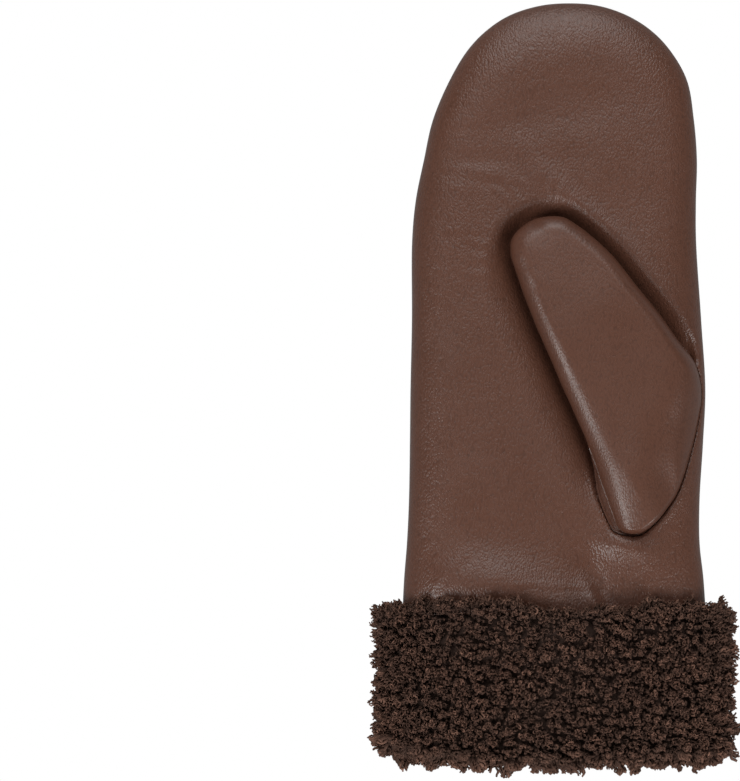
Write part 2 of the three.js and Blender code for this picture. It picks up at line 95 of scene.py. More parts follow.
HAND_SECTIONS = [
    {"along": 0.04, "left": 1.05, "right": 1.043},
    {"along": 0.1, "left": 1.03, "right": 1.016},
    {"along": 0.17, "left": 1.016, "right": 1.016},
    {"along": 0.27, "left": 1.009, "right": 1.042},
    {"along": 0.355, "left": 1.005, "right": 1.058},
    {"along": 0.47, "left": 0.995, "right": 1.03},
    {"along": 0.605, "left": 0.993, "right": 0.995},
    {"along": 0.672, "left": 0.967, "right": 0.995},
    {"along": 0.738, "left": 0.911, "right": 1.002},
    {"along": 0.805, "left": 0.848, "right": 0.981},
    {"along": 0.872, "left": 0.729, "right": 0.932},
    {"along": 0.922, "left": 0.603, "right": 0.813},
    {"along": 0.955, "left": 0.47, "right": 0.68},
    {"along": 0.98, "left": 0.309, "right": 0.512},
    {"along": 0.996, "left": 0.095, "right": 0.31},
]
FINGERTIP = {"along": 1.0, "across": 0.112}
WRIST_SHARE = 1.068
HAND_PROFILE = [
    {"along": -0.06, "lift": 1.0, "thick": 0.84},
    {"along": 0.08, "lift": 0.88, "thick": 0.93},
    {"along": 0.25, "lift": 0.56, "thick": 1.0},
    {"along": 0.42, "lift": 0.36, "thick": 1.0},
    {"along": 0.58, "lift": 0.16, "thick": 0.97},
    {"along": 0.7, "lift": 0.0, "thick": 0.94},
    {"along": 1.0, "lift": 0.0, "thick": 0.78},
]
THUMB_SECTIONS = [
    {"up": 0.012, "fold": 0.05, "seam": 0.28, "strip": 0.03},
    {"up": 0.035, "fold": 0.0, "seam": 0.385, "strip": 0.045},
    {"up": 0.07, "fold": 0.0, "seam": 0.51, "strip": 0.058},
    {"up": 0.15, "fold": 0.008, "seam": 0.685, "strip": 0.062},
    {"up": 0.245, "fold": 0.02, "seam": 0.858, "strip": 0.02},
    {"up": 0.32, "fold": 0.02, "seam": 0.962, "strip": 0.0},
    {"up": 0.385, "fold": 0.015, "seam": 1.0, "strip": 0.0},
    {"up": 0.43, "fold": 0.012, "seam": 0.995, "strip": 0.0},
    {"up": 0.49, "fold": 0.005, "seam": 0.95, "strip": 0.0},
    {"up": 0.59, "fold": 0.0, "seam": 0.892, "strip": 0.0},
    {"up": 0.7, "fold": -0.008, "seam": 0.809, "strip": 0.0},
    {"up": 0.81, "fold": -0.004, "seam": 0.7265, "strip": 0.0},
    {"up": 0.87, "fold": 0.005, "seam": 0.66, "strip": 0.0},
    {"up": 0.93, "fold": 0.02, "seam": 0.575, "strip": 0.0},
    {"up": 0.975, "fold": 0.082, "seam": 0.485, "strip": 0.0},
]
THUMB_END = {"foot": 0.15, "tip": 0.28}
print("leather", round(HAND_LENGTH), "mm long; cuff", round(CUFF_HEIGHT), "mm")

# %% [markdown]
# ## Drawing with the tables
#
# A panel's outline is a smooth curve through its table's rows. A point's height then follows from how
# far it lies from that outline, because sewn and turned leather rises steeply from its seam and flattens
# towards the middle. These helpers work on whole arrays at once, which keeps the meshes quick to make.


# %% Curves, distances and noise
def across_hand(share):
    return share * HAND_WIDTH / 2


def along_hand(share):
    return CUFF_TOP + share * HAND_LENGTH


def ease(low, high, x):
    t = np.clip((x - low) / (high - low), 0, 1)
    return t * t * (3 - 2 * t)


def table_at(rows, place, column, at):
    """A smooth curve through a table's column, level at its ends."""
    xs = np.array([row[place] for row in rows])
    ys = np.array([row[column] for row in rows])
    slope = np.diff(ys) / np.diff(xs)
    tangent = np.zeros(len(xs))
    before, after = slope[:-1], slope[1:]
    same = before * after > 0
    tangent[1:-1][same] = 2 * before[same] * after[same] / (before[same] + after[same])
    at = np.clip(at, xs[0], xs[-1])
    i = np.clip(np.searchsorted(xs, at, side="right") - 1, 0, len(xs) - 2)
    span = xs[i + 1] - xs[i]
    t = (at - xs[i]) / span
    return (
        (2 * t**3 - 3 * t**2 + 1) * ys[i]
        + (t**3 - 2 * t**2 + t) * span * tangent[i]
        + (3 * t**2 - 2 * t**3) * ys[i + 1]
        + (t**3 - t**2) * span * tangent[i + 1]
    )


def smooth_path(points, count, closed=False):
    """Evenly spaced points on a centripetal curve through the given ones."""
    points = np.array(points, float)
    if closed:
        ring = np.vstack([points[-1:], points, points[:2]])
    else:
        ring = np.vstack([2 * points[:1] - points[1:2], points, 2 * points[-1:] - points[-2:-1]])
    fine = []
    t = np.linspace(0, 1, 24, endpoint=False)[:, None]
    for p0, p1, p2, p3 in zip(ring[:-3], ring[1:-2], ring[2:-1], ring[3:]):
        gaps = [max(np.linalg.norm(b - a) ** 0.5, 1e-6) for a, b in ((p0, p1), (p1, p2), (p2, p3))]
        m1 = (p1 - p0) / gaps[0] - (p2 - p0) / (gaps[0] + gaps[1]) + (p2 - p1) / gaps[1]
        m2 = (p2 - p1) / gaps[1] - (p3 - p1) / (gaps[1] + gaps[2]) + (p3 - p2) / gaps[2]
        m1, m2 = m1 * gaps[1], m2 * gaps[1]
        fine.append(
            (2 * t**3 - 3 * t**2 + 1) * p1
            + (t**3 - 2 * t**2 + t) * m1
            + (3 * t**2 - 2 * t**3) * p2
            + (t**3 - t**2) * m2
        )
    fine = np.vstack(fine + [ring[-2:-1]])
    length = np.concatenate([[0], np.cumsum(np.linalg.norm(np.diff(fine, axis=0), axis=1))])
    at = np.linspace(0, length[-1], count)
    return np.stack([np.interp(at, length, fine[:, k]) for k in range(points.shape[1])], axis=1)


def distance_to(path, x, y):
    """How far points in plan lie from a path."""
    a, b = path[:-1, :2], path[1:, :2]
    d = b - a
    squared = np.maximum((d**2).sum(axis=1), 1e-12)
    flat = np.stack([np.ravel(x), np.ravel(y)], axis=1)
    least = np.empty(len(flat))
    for start in range(0, len(flat), 8192):
        p = flat[start : start + 8192, None, :] - a[None]
        t = np.clip((p * d).sum(axis=2) / squared, 0, 1)
        least[start : start + 8192] = np.sqrt(((p - t[..., None] * d) ** 2).sum(axis=2).min(axis=1))
    return least.reshape(np.shape(x))


def is_inside(path, x, y):
    """Whether points in plan lie inside a closed path."""
    inside = np.zeros(np.shape(x), bool)
    for (ax, ay), (bx, by) in zip(path[:-1, :2], path[1:, :2]):
        if ay == by:
            continue
        crosses = ((ay > y) != (by > y)) & (x < ax + (y - ay) * (bx - ax) / (by - ay))
        inside ^= crosses
    return inside


def value_noise(x, y, scale, seed):
    """Smooth noise between -1 and 1, with features about `scale` mm across."""
    table = np.random.default_rng(seed).uniform(-1, 1, (64, 64))
    u, v = x / scale, y / scale
    i, j = np.floor(u).astype(int), np.floor(v).astype(int)
    s, t = ease(0, 1, u - i), ease(0, 1, v - j)
    at = lambda a, b: table[a % 64, b % 64]
    low = at(i, j) * (1 - s) + at(i + 1, j) * s
    high = at(i, j + 1) * (1 - s) + at(i + 1, j + 1) * s
    return low * (1 - t) + high * t


def rounding(distance, edge, power):
    t = np.clip(distance / edge, 0, 1)
    return (1 - (1 - t) ** power) ** (1 / power)


def hand_outline(count):
    """From the little finger's side of the wrist round the fingertips."""
    half = across_hand(WRIST_SHARE)
    left = [(-across_hand(row["left"]), along_hand(row["along"])) for row in HAND_SECTIONS]
    right = [(across_hand(row["right"]), along_hand(row["along"])) for row in HAND_SECTIONS]
    tip = (across_hand(FINGERTIP["across"]), along_hand(FINGERTIP["along"]))
    return smooth_path([(-half, WRIST), *left, tip, *right[::-1], (half, WRIST)], count)


thumb_up = np.array([-math.sin(THUMB_LEAN), math.cos(THUMB_LEAN)])
thumb_across = np.array([math.cos(THUMB_LEAN), math.sin(THUMB_LEAN)])
thumb_foot = np.array([across_hand(THUMB_FOOT["across"]), along_hand(THUMB_FOOT["along"])])


def thumb_place(up, across):
    return tuple(thumb_foot + up * THUMB_LENGTH * thumb_up + across * THUMB_WIDTH * thumb_across)


def thumb_shares(x, y):
    dx, dy = x - thumb_foot[0], y - thumb_foot[1]
    up = (dx * thumb_up[0] + dy * thumb_up[1]) / THUMB_LENGTH
    across = (dx * thumb_across[0] + dy * thumb_across[1]) / THUMB_WIDTH
    return up, across


def thumb_outline(count, strip):
    """From the thumb's foot up its fold, round the tip and down its seam."""
    foot = THUMB_END["foot"] - (0.02 if strip else 0)
    fold = [thumb_place(row["up"], row["fold"] - strip * row["strip"]) for row in THUMB_SECTIONS]
    seam = [thumb_place(row["up"], row["seam"]) for row in THUMB_SECTIONS]
    points = [thumb_place(-0.006 * strip, foot), *fold, thumb_place(1, THUMB_END["tip"]), *seam[::-1]]
    return smooth_path(points, count, closed=True)


# The side seam's line runs on straight past the wrist, for heights below the leather's end
PAST_WRIST = [[0, 80]]
hand_path = hand_outline(260)
hand_path = np.vstack([hand_path[:1] - PAST_WRIST, hand_path, hand_path[-1:] - PAST_WRIST])
leaf_path = thumb_outline(220, strip=0)
root_path = thumb_outline(220, strip=1)
tip_at = np.argmin(np.linalg.norm(leaf_path - thumb_place(1, THUMB_END["tip"]), axis=1))
corner_at = np.argmin(np.linalg.norm(leaf_path[:tip_at] - thumb_place(0.035, 0), axis=1))
fold_path = np.vstack([thumb_place(-0.1, 0), leaf_path[corner_at : tip_at + 1]])
seam_path = np.vstack([leaf_path[tip_at:], leaf_path[1 : corner_at + 1]])
print("outlines", len(hand_path), len(leaf_path))

# %% [markdown]
# ## Soft folds and dents
#
# Nappa leather over a lining takes soft dents where it is pressed and fine wrinkles where it is bent.
# The thumb has pressed a bed into the palm, deeper and tighter on the seam side. Short wrinkles fan out
# round its tip, a pucker crosses the crotch, and broad folds gather above the cuff. Each is one row of
# a table: where it lies, which way it runs in degrees, its half length and half width, and how far it
# rises. The wrinkles have tables of their own, because they are sharper: a ridge with a groove beside it.

# %% Tables of folds and wrinkles
FOLD_COLUMNS = ("across", "along", "turn", "long", "wide", "rise")
PALM_FOLDS = [
    # swell over the cuff
    (-0.5, 0.026, 0, 22, 12.5, 5.0),
    # its end by the thumb
    (0.06, -0.012, -15, 19, 11, 4.8),
    # dip beside the foot
    (0.25, 0.09, 100, 13, 7, -0.9),
    # roll under the foot
    (0.48, 0.096, -10, 9, 4.2, 2.3),
    # slope under the roll
    (0.55, 0.066, -8, 14, 9, 1.1),
    # fold at the knuckles
    (-0.75, 0.73, 4, 30, 5, -0.9),
    # rim beyond the thumb
    (0.32, 0.62, -47, 34, 4.5, 1.2),
    # crease over the cuff
    (0.3, 0.035, -60, 11, 3.6, -1.1),
    # ridge over the cuff
    (0.27, 0.005, -66, 7, 3, 1.6),
    # swell under the tip
    (-0.1, 0.9, 12, 30, 9, 0.8),
    # trough across the tip
    (-0.2, 0.8, 14, 34, 7, -0.7),
    # dent at the edge
    (-0.8, 0.46, 70, 24, 7, -0.5),
    # swell of the heel
    (-0.45, 0.25, 80, 34, 13, 0.5),
]
PALM_WRINKLES = [
    (-0.62, 0.725, -6, 15, 2.4, 0.22),
    (-0.4, 0.71, -16, 9, 2.0, 0.14),
    (-0.35, 0.676, -44, 5.5, 1.3, 0.22),
    (-0.28, 0.68, -54, 5.5, 1.2, 0.24),
    (-0.19, 0.685, -64, 5, 1.2, 0.24),
    (-0.03, 0.69, -84, 4, 1.2, 0.24),
    (0.05, 0.685, -100, 3.6, 1.2, 0.2),
    (-0.66, 0.62, 2, 10, 1.8, 0.12),
    (-0.5, 0.6, -10, 8, 1.6, 0.16),
    (-0.44, 0.575, -2, 7, 1.5, 0.14),
    (-0.52, 0.55, 6, 6, 1.5, 0.1),
    (0.94, 0.452, -10, 6, 2.0, 0.16),
    (-0.72, 0.06, 42, 10, 1.8, 0.14),
    (-0.8, 0.11, 36, 9, 1.8, 0.12),
    (0.1, 0.032, 1, 24, 1.2, 0.12),
    (-0.75, 0.8, 10, 8, 2.0, 0.12),
    (-0.1, 0.86, 10, 16, 2.4, 0.12),
]
THUMB_WRINKLES = [
    (-0.14, 0.545, -24, 6, 1.8, 0.09),
    (-0.08, 0.53, -30, 4, 1.6, 0.08),
]
BACK_FOLDS = [
    # dip at the heel
    (-0.6, 0.16, 24, 27.5, 10, -1.0),
    # dip above the cuff
    (0.25, 0.07, -8, 30, 8.8, -1.25),
]


def fold_frame(row, x, y):
    """Where a point lies in a fold's own directions, and how far the fold rises."""
    fold = dict(zip(FOLD_COLUMNS, row))
    turn = math.radians(fold["turn"])
    dx, dy = x - across_hand(fold["across"]), y - along_hand(fold["along"])
    a = (dx * math.cos(turn) + dy * math.sin(turn)) / fold["long"]
    b = (dy * math.cos(turn) - dx * math.sin(turn)) / fold["wide"]
    return a, b, fold["rise"]


def fold_height(folds, x, y):
    total = np.zeros(np.shape(x))
    for row in folds:
        a, b, rise = fold_frame(row, x, y)
        total += rise * np.exp(-a * a - b * b)
    return total


def wrinkle_height(wrinkles, x, y):
    """A ridge with a groove on its lower side, bowed a little by noise."""
    bow = value_noise(x, y, 9, 5) * 0.9
    total = np.zeros(np.shape(x))
    for row in wrinkles:
        a, b, rise = fold_frame(row, x, y + bow)
        ridge = np.exp(-b * b) - 0.8 * np.exp(-((b + 1.6) ** 2))
        total += rise * ridge * np.exp(-(a**4))
    return total


print("folds", len(PALM_FOLDS), "wrinkles", len(PALM_WRINKLES))

# %% [markdown]
# ## Heights of the skins
#
# These are the surfaces that the panels follow. The palm's skin rises from the side seam, takes its
# folds and the thumb's bed, and dips into a groove with a raised lip where the thumb is sewn in. The
# back's skin lies flat on the surface at the fingers and climbs towards the cuff, which lifts it.


# %% Palm, back and thumb as heights over the plan
def hand_share(y):
    return (y - CUFF_TOP) / HAND_LENGTH


def under(y):
    return PILE_UNDER * table_at(HAND_PROFILE, "along", "lift", hand_share(y))


def thickness(y):
    return HAND_THICKNESS * table_at(HAND_PROFILE, "along", "thick", hand_share(y))


def seam_height(y):
    return under(y) + SEAM_HEIGHT * thickness(y)


def palm_level(x, y, inset=0.0, wrinkled=True):
    distance = distance_to(hand_path, x, y) - inset
    rise = rounding(distance, PALM_EDGE - inset, FULLNESS["palm"])
    base = seam_height(y) + SEAM_GAP / 2
    level = base + (under(y) + thickness(y) - inset - base) * rise
    level += fold_height(PALM_FOLDS, x, y) * rise * rise
    if wrinkled:
        level += wrinkle_height(PALM_WRINKLES, x, y) * ease(0, 3, distance)
        level += (0.22 * value_noise(x, y, 21, 3) + 0.07 * value_noise(x, y, 7, 4)) * rise
    return level


def past_crotch(x, y):
    up, across = thumb_shares(x, y)
    return up - (CROTCH["fold"] + (CROTCH["seam"] - CROTCH["fold"]) * np.clip(across, 0, 1))


def bed_depth(x, y):
    up, across = thumb_shares(x, y)
    seam = table_at(THUMB_SECTIONS, "up", "seam", up)
    seam_side = ease(0.25, 0.75, across / seam)
    past = past_crotch(x, y)
    start = ease(-0.24, -0.03, past) * (1 - seam_side) + ease(-0.03, 0.01, past) * seam_side
    outside = np.where(is_inside(leaf_path, x, y), 0, distance_to(leaf_path, x, y))
    near_tip = ease(0.8, 1.02, up)
    fold_reach = BED_REACH["fold"] * (1 - near_tip) + BED_REACH["tip"] * near_tip
    reach = fold_reach * (1 - seam_side) + BED_REACH["seam"] * seam_side
    near_seam = ease(0, 6, distance_to(hand_path, x, y))
    slope = np.clip(1 - outside / reach, 0, 1)
    return BED_DEPTH * start * near_seam * slope**1.7 * (1 + 0.35 * (1 - seam_side) * slope)


def groove_depth(distance):
    return GROOVE["depth"] * np.exp(-((distance / GROOVE["wide"]) ** 2))


def seam_groove(x, y):
    """The sunk seam with its raised lip round the thumb's root."""
    distance = distance_to(root_path, x, y)
    rooted = 1 - ease(-0.05, 0.02, past_crotch(x, y))
    lip = GROOVE_LIP["rise"] * np.exp(-(((distance - GROOVE_LIP["at"]) / GROOVE_LIP["wide"]) ** 2))
    return (lip - groove_depth(distance)) * rooted


def palm_skin(x, y, inset=0.0):
    skin = palm_level(x, y, inset, wrinkled=inset == 0) - bed_depth(x, y)
    return skin + seam_groove(x, y) if inset == 0 else skin


def back_skin(x, y, inset=0.0):
    distance = distance_to(hand_path, x, y) - inset
    rise = rounding(distance, BACK_EDGE - inset, FULLNESS["back"])
    base = seam_height(y) - SEAM_GAP / 2
    lifted = ease(0, PILE_UNDER / 4, under(y))
    return base + (under(y) + inset - base) * rise - fold_height(BACK_FOLDS, x, y) * rise * lifted


def foot_share(up):
    """The thumb's height sinks towards its sewn foot."""
    return 1 - THUMB_SINK["share"] * (1 - ease(0, THUMB_SINK["below"], up))


def fold_rise(from_fold, up, inset):
    """The roll along the fold and its soft shoulder, both broader at the foot than at the tip."""
    at_tip = ease(0.15, 0.7, up)
    low = foot_share(up)

    def roll(width, shoulder_width, shoulder_share):
        tight = rounding(from_fold - inset, width, FULLNESS["thumb"])
        shoulder = 1 - np.clip(1 - (from_fold - inset) / shoulder_width, 0, 1) ** 2
        return (1 - shoulder_share) * tight + shoulder_share * shoulder

    foot = roll(
        THUMB_FOLD["foot"] * low - inset, THUMB_FOLD["foot_shoulder"] * low, SHOULDER_SHARE["foot"]
    )
    tip = roll(THUMB_FOLD["tip"], THUMB_FOLD["tip_shoulder"], SHOULDER_SHARE["tip"])
    return foot * (1 - at_tip) + tip * at_tip


def thumb_top(x, y, inset=0.0):
    """A roll along the fold, a soft fall to the seam, and a step down to the strip by the fold."""
    inside = is_inside(leaf_path, x, y)
    from_fold = np.where(inside, distance_to(fold_path, x, y), 0)
    from_seam = np.where(inside, distance_to(seam_path, x, y), 0)
    up, across = thumb_shares(x, y)
    rooted = 1 - ease(-0.16, 0.04, past_crotch(x, y))
    # The fall to the seam is tight by the foot, long and soft above it, and rounded where free
    edge = 1.8 + 3.2 * (1 - rooted) - min(inset, 0.8)
    soft = 15 * ease(0.08, 0.3, up) + 3
    crisp_fall = rounding(from_seam - inset, edge, 2.0)
    soft_fall = 1 - np.clip(1 - (from_seam - inset) / soft, 0, 1) ** 2.6
    blend = rooted * ease(0.04, 0.16, up)
    rise = fold_rise(from_fold, up, inset) * (crisp_fall * (1 - blend) + soft_fall * blend)
    full = THUMB_RISE * (1 + 0.2 * (1 - ease(0.1, 0.5, up)) - 0.1 * ease(0.7, 1, up))
    # The top also sinks from the fold to the seam, most of all by the foot
    by_foot = 1 - ease(0.05, 0.35, up)
    tilt = (0.36 + 0.24 * by_foot) * ease(0.1 + 0.14 * by_foot, 0.7 - 0.2 * by_foot, across)
    full = full * (1 - tilt * (1 - ease(0.1, 0.8, up))) * foot_share(up)
    skin = palm_level(x, y, wrinkled=False) + (full - inset) * rise
    if inset:
        return skin - 0.8 * ~inside
    rim = distance_to(root_path, x, y)
    skin += 0.25 * value_noise(x, y, 15, 8) * rise
    skin += wrinkle_height(THUMB_WRINKLES, x, y) * ease(0, 3, from_fold)
    skin -= (STRIP_STEP * ease(0, 1.2, rim) * ~inside + groove_depth(rim)) * rooted
    return skin


def thumb_bottom(x, y, inset=0.0):
    free = ease(-0.03, 0.03, past_crotch(x, y))
    depth = THUMB_ROOT_DEPTH * (1 - free) + (bed_depth(x, y) - BED_CLEARANCE) * free
    drop = rounding(distance_to(root_path, x, y) - inset, THUMB_EDGE - inset, FULLNESS["thumb"])
    return palm_level(x, y, wrinkled=False) - (depth - inset) * drop


root_height = float(palm_level(np.array(20.0), np.array(0.0)))
print("palm height over the thumb's root", round(root_height, 1), "mm")

# %% [markdown]
# ## From heights to closed panels
#
# Each panel is a grid of rungs laid across its outline, from the wrist or the thumb's foot to the tip.
# The rungs' points crowd towards the outline, where the surface turns most. An outer and an inner grid,
# joined round their rim, make a wall of leather with a real thickness. Panels are cut with Blender's
# manifold boolean, as scissors would cut the hole for the thumb.


# %% Mesh builders
WELD_GAP = 0.002


def rungs(path, rows, columns, inset, edge_height, height):
    """Rows of points across an outline whose path runs from its foot round its tip and back."""
    length = np.concatenate([[0], np.cumsum(np.linalg.norm(np.diff(path, axis=0), axis=1))])
    at = np.linspace(0, 0.5, rows + 1) * length[-1]
    tangent = np.gradient(path, length, axis=0)
    tangent /= np.linalg.norm(tangent, axis=1)[:, None]

    def place(distance):
        point = np.stack([np.interp(distance, length, path[:, k]) for k in (0, 1)], axis=1)
        along = np.stack([np.interp(distance, length, tangent[:, k]) for k in (0, 1)], axis=1)
        along /= np.linalg.norm(along, axis=1)[:, None]
        return point + inset * np.stack([along[:, 1], -along[:, 0]], axis=1)

    left, right = place(at), place(length[-1] - at)
    right[-1] = left[-1]
    share = (1 - np.cos(np.pi * np.linspace(0, 1, columns + 1))) / 2
    share = 0.55 * share + 0.45 * np.linspace(0, 1, columns + 1)
    grid = left[:, None] * (1 - share)[None, :, None] + right[:, None] * share[None, :, None]
    x, y = grid[..., 0], grid[..., 1]
    z = height(x, y)
    edge = edge_height(x, y)
    z[:, 0], z[:, -1], z[-1] = edge[:, 0], edge[:, -1], edge[-1]
    return np.stack([x, y, z], axis=2)


def sheet_faces(rows, columns, first, up):
    index = first + np.arange((rows + 1) * (columns + 1)).reshape(rows + 1, columns + 1)
    a, b, c, d = index[:-1, :-1], index[:-1, 1:], index[1:, 1:], index[1:, :-1]
    quads = np.stack([a, b, c, d] if up else [a, d, c, b], axis=-1).reshape(-1, 4)
    return index, quads


def rim_of(index):
    return np.concatenate([index[0, ::-1], index[1:, 0], index[-2:0:-1, -1], index[:1, -1]])


def zip_rims(outer, inner, points, up):
    """Triangles between two rims that run the same way with different counts."""

    def shares(rim):
        step = np.linalg.norm(np.diff(points[rim], axis=0), axis=1)
        total = np.concatenate([[0], np.cumsum(step)])
        return total / total[-1]

    s, t = shares(outer), shares(inner)
    i = j = 0
    faces = []
    while i < len(outer) - 1 or j < len(inner) - 1:
        if j == len(inner) - 1 or (i < len(outer) - 1 and s[i + 1] <= t[j + 1]):
            face = (outer[i], outer[i + 1], inner[j])
            i += 1
        else:
            face = (outer[i], inner[j + 1], inner[j])
            j += 1
        faces.append(face if up else face[::-1])
    return faces


def new_piece(name, points, faces):
    """A smooth mesh object from points in millimetres, with doubled points merged."""
    mesh = bpy.data.meshes.new(name)
    mesh.from_pydata((np.asarray(points) * MM).tolist(), [], [list(map(int, f)) for f in faces])
    mesh.validate()
    piece = bpy.data.objects.new(name, mesh)
    bpy.context.scene.collection.objects.link(piece)
    weld = piece.modifiers.new("weld", "WELD")
    weld.merge_threshold = WELD_GAP * MM
    apply_modifiers(piece)
    piece.data.polygons.foreach_set("use_smooth", [True] * len(piece.data.polygons))
    return piece


def apply_modifiers(piece):
    bpy.context.view_layer.update()
    evaluated = piece.evaluated_get(bpy.context.evaluated_depsgraph_get())
    mesh = bpy.data.meshes.new_from_object(evaluated)
    piece.modifiers.clear()
    old = piece.data
    piece.data = mesh
    bpy.data.meshes.remove(old)
    mesh.name = piece.name


def cut(piece, *tools):
    for tool in tools:
        knife = piece.modifiers.new("cut", "BOOLEAN")
        knife.operation = "DIFFERENCE"
        knife.solver = "MANIFOLD"
        knife.object = tool
    apply_modifiers(piece)


def discard(*pieces):
    for piece in pieces:
        mesh = piece.data
        bpy.data.objects.remove(piece)
        bpy.data.meshes.remove(mesh)


def wall(name, path, outer_grid, inner_grid, edge_height, height, up):
    outer = rungs(path, *outer_grid, 0.0, edge_height, height)
    inner = rungs(path, *inner_grid, LEATHER, edge_height, lambda x, y: height(x, y, LEATHER))
    points = np.vstack([outer.reshape(-1, 3), inner.reshape(-1, 3)])
    outer_index, outer_faces = sheet_faces(*outer_grid, 0, up)
    inner_index, inner_faces = sheet_faces(*inner_grid, outer_index.size, not up)
    rim = zip_rims(rim_of(outer_index), rim_of(inner_index), points, up)
    return new_piece(name, points, [*outer_faces, *inner_faces, *rim])


def cushion(name, path, grid, inset, edge_height, top, bottom):
    high = rungs(path, *grid, inset, edge_height, top)
    low = rungs(path, *grid, inset, edge_height, bottom)
    points = np.vstack([high.reshape(-1, 3), low.reshape(-1, 3)])
    high_index, high_faces = sheet_faces(*grid, 0, True)
    low_index, low_faces = sheet_faces(*grid, high_index.size, False)
    foot = [
        (low_index[0, j], low_index[0, j + 1], high_index[0, j + 1], high_index[0, j])
        for j in range(grid[1])
    ]
    return new_piece(name, points, [*high_faces, *low_faces, *foot])


def triangles(piece):
    return sum(len(p.vertices) - 2 for p in piece.data.polygons)


hand_curve = hand_outline(900)
root_curve = thumb_outline(700, strip=1)
print("outline points", len(hand_curve), len(root_curve))

# %% [markdown]
# ## The thumb
#
# The thumb is one piece of leather folded lengthwise. Its fold lies on the left, its seam on the right
# and round the tip, and its foot is sewn into the palm along a U. It is made as a cushion with the right
# heights, hollowed by a smaller cushion, and opened into the hand by cutting away the hand's inner space.

# %% Thumb
palm_plain = lambda x, y: palm_level(x, y, wrinkled=False)
thumb = cushion("thumb", root_curve, (200, 76), 0.0, palm_plain, thumb_top, thumb_bottom)
thumb_space = cushion(
    "thumb_space",
    root_curve,
    (70, 24),
    LEATHER,
    palm_plain,
    lambda x, y: thumb_top(x, y, LEATHER),
    lambda x, y: thumb_bottom(x, y, LEATHER),
)
seam_level = lambda x, y: seam_height(y)
hand_space = cushion(
    "hand_space",
    hand_curve,
    (90, 40),
    LEATHER,
    seam_level,
    lambda x, y: palm_skin(x, y, LEATHER),
    lambda x, y: back_skin(x, y, LEATHER),
)
cut(thumb, thumb_space, hand_space)
print("thumb", triangles(thumb), "triangles")

# %% [markdown]
# ## The palm panel
#
# The palm is cut a little larger than the back and eased into the side seam, so it is the fuller of the
# two. Its outer grid is fine enough to carry the wrinkles as real relief. The hole for the thumb is cut
# with the thumb's own form, grown by the width of the seam.

# %% Palm panel
palm_rim = lambda x, y: seam_height(y) + SEAM_GAP / 2
palm = wall("palm_panel", hand_curve, (370, 176), (100, 44), palm_rim, palm_skin, True)
hole = cushion(
    "hole",
    root_curve,
    (90, 30),
    -SEAM_GAP,
    palm_plain,
    lambda x, y: palm_plain(x, y) + THUMB_RISE,
    lambda x, y: thumb_bottom(x, y, -SEAM_GAP),
)
cut(palm, hole)
discard(hole, thumb_space, hand_space)
print("palm_panel", triangles(palm), "triangles")

# %% [markdown]
# ## The back panel and its three points
#
# Glove makers call the raised lines on the back points. Each is a pin tuck: the leather is pinched
# along a line and sewn close to the pinch, which leaves a narrow ridge between two sunk rows of
# stitches. They are part of the panel, so they are made as relief in the panel's own grid, and the
# stitches are laid into the sunk rows as small capsules of thread.

# %% Back panel
POINTS = [
    {"from": (-0.23, 0.228), "to": (-0.405, 0.535)},
    {"from": (0.025, 0.244), "to": (0.03, 0.576)},
    {"from": (0.3, 0.235), "to": (0.475, 0.548)},
]
TUCK_HALF = 0.8
STITCH_ROW = 1.25


def point_ends(point):
    return [np.array([across_hand(a), along_hand(b)]) for a, b in (point["from"], point["to"])]


def point_relief(x, y):
    total = np.zeros(np.shape(x))
    for point in POINTS:
        start, end = point_ends(point)
        length = np.linalg.norm(end - start)
        along = (end - start) / length
        dx, dy = x - start[0], y - start[1]
        a = dx * along[0] + dy * along[1]
        b = np.abs(dy * along[0] - dx * along[1])
        ends = ease(-0.5, 2, a) * ease(-0.5, 2, length - a)
        ridge = 1.0 * (1 - ease(TUCK_HALF - 0.45, TUCK_HALF + 0.35, b))
        rows = 0.45 * np.exp(-(((b - STITCH_ROW) / 0.45) ** 2))
        pucker_at = np.minimum(np.abs(a), np.abs(a - length))
        pucker = 0.5 * np.exp(-((pucker_at / 3.5) ** 2) - (b / 5) ** 2)
        total += ends * (ridge - rows) - pucker
    return total


def back_outer(x, y, inset=0.0):
    skin = back_skin(x, y, inset)
    if inset:
        return skin
    lifted = ease(0.3, 2, under(y))
    return skin - point_relief(x, y) * lifted - 0.12 * value_noise(x, y, 17, 6) * lifted


back_rim = lambda x, y: seam_height(y) - SEAM_GAP / 2
back = wall("back_panel", hand_curve, (200, 150), (60, 30), back_rim, back_outer, False)
print("back_panel", triangles(back), "triangles")

# %% [markdown]
# ## Stitches of the points
#
# The thread is a shade darker than the leather and lies in the sunk rows. Each stitch is a capsule with
# rounded ends, longer than the gap to the next, and all of them are joined in one mesh.


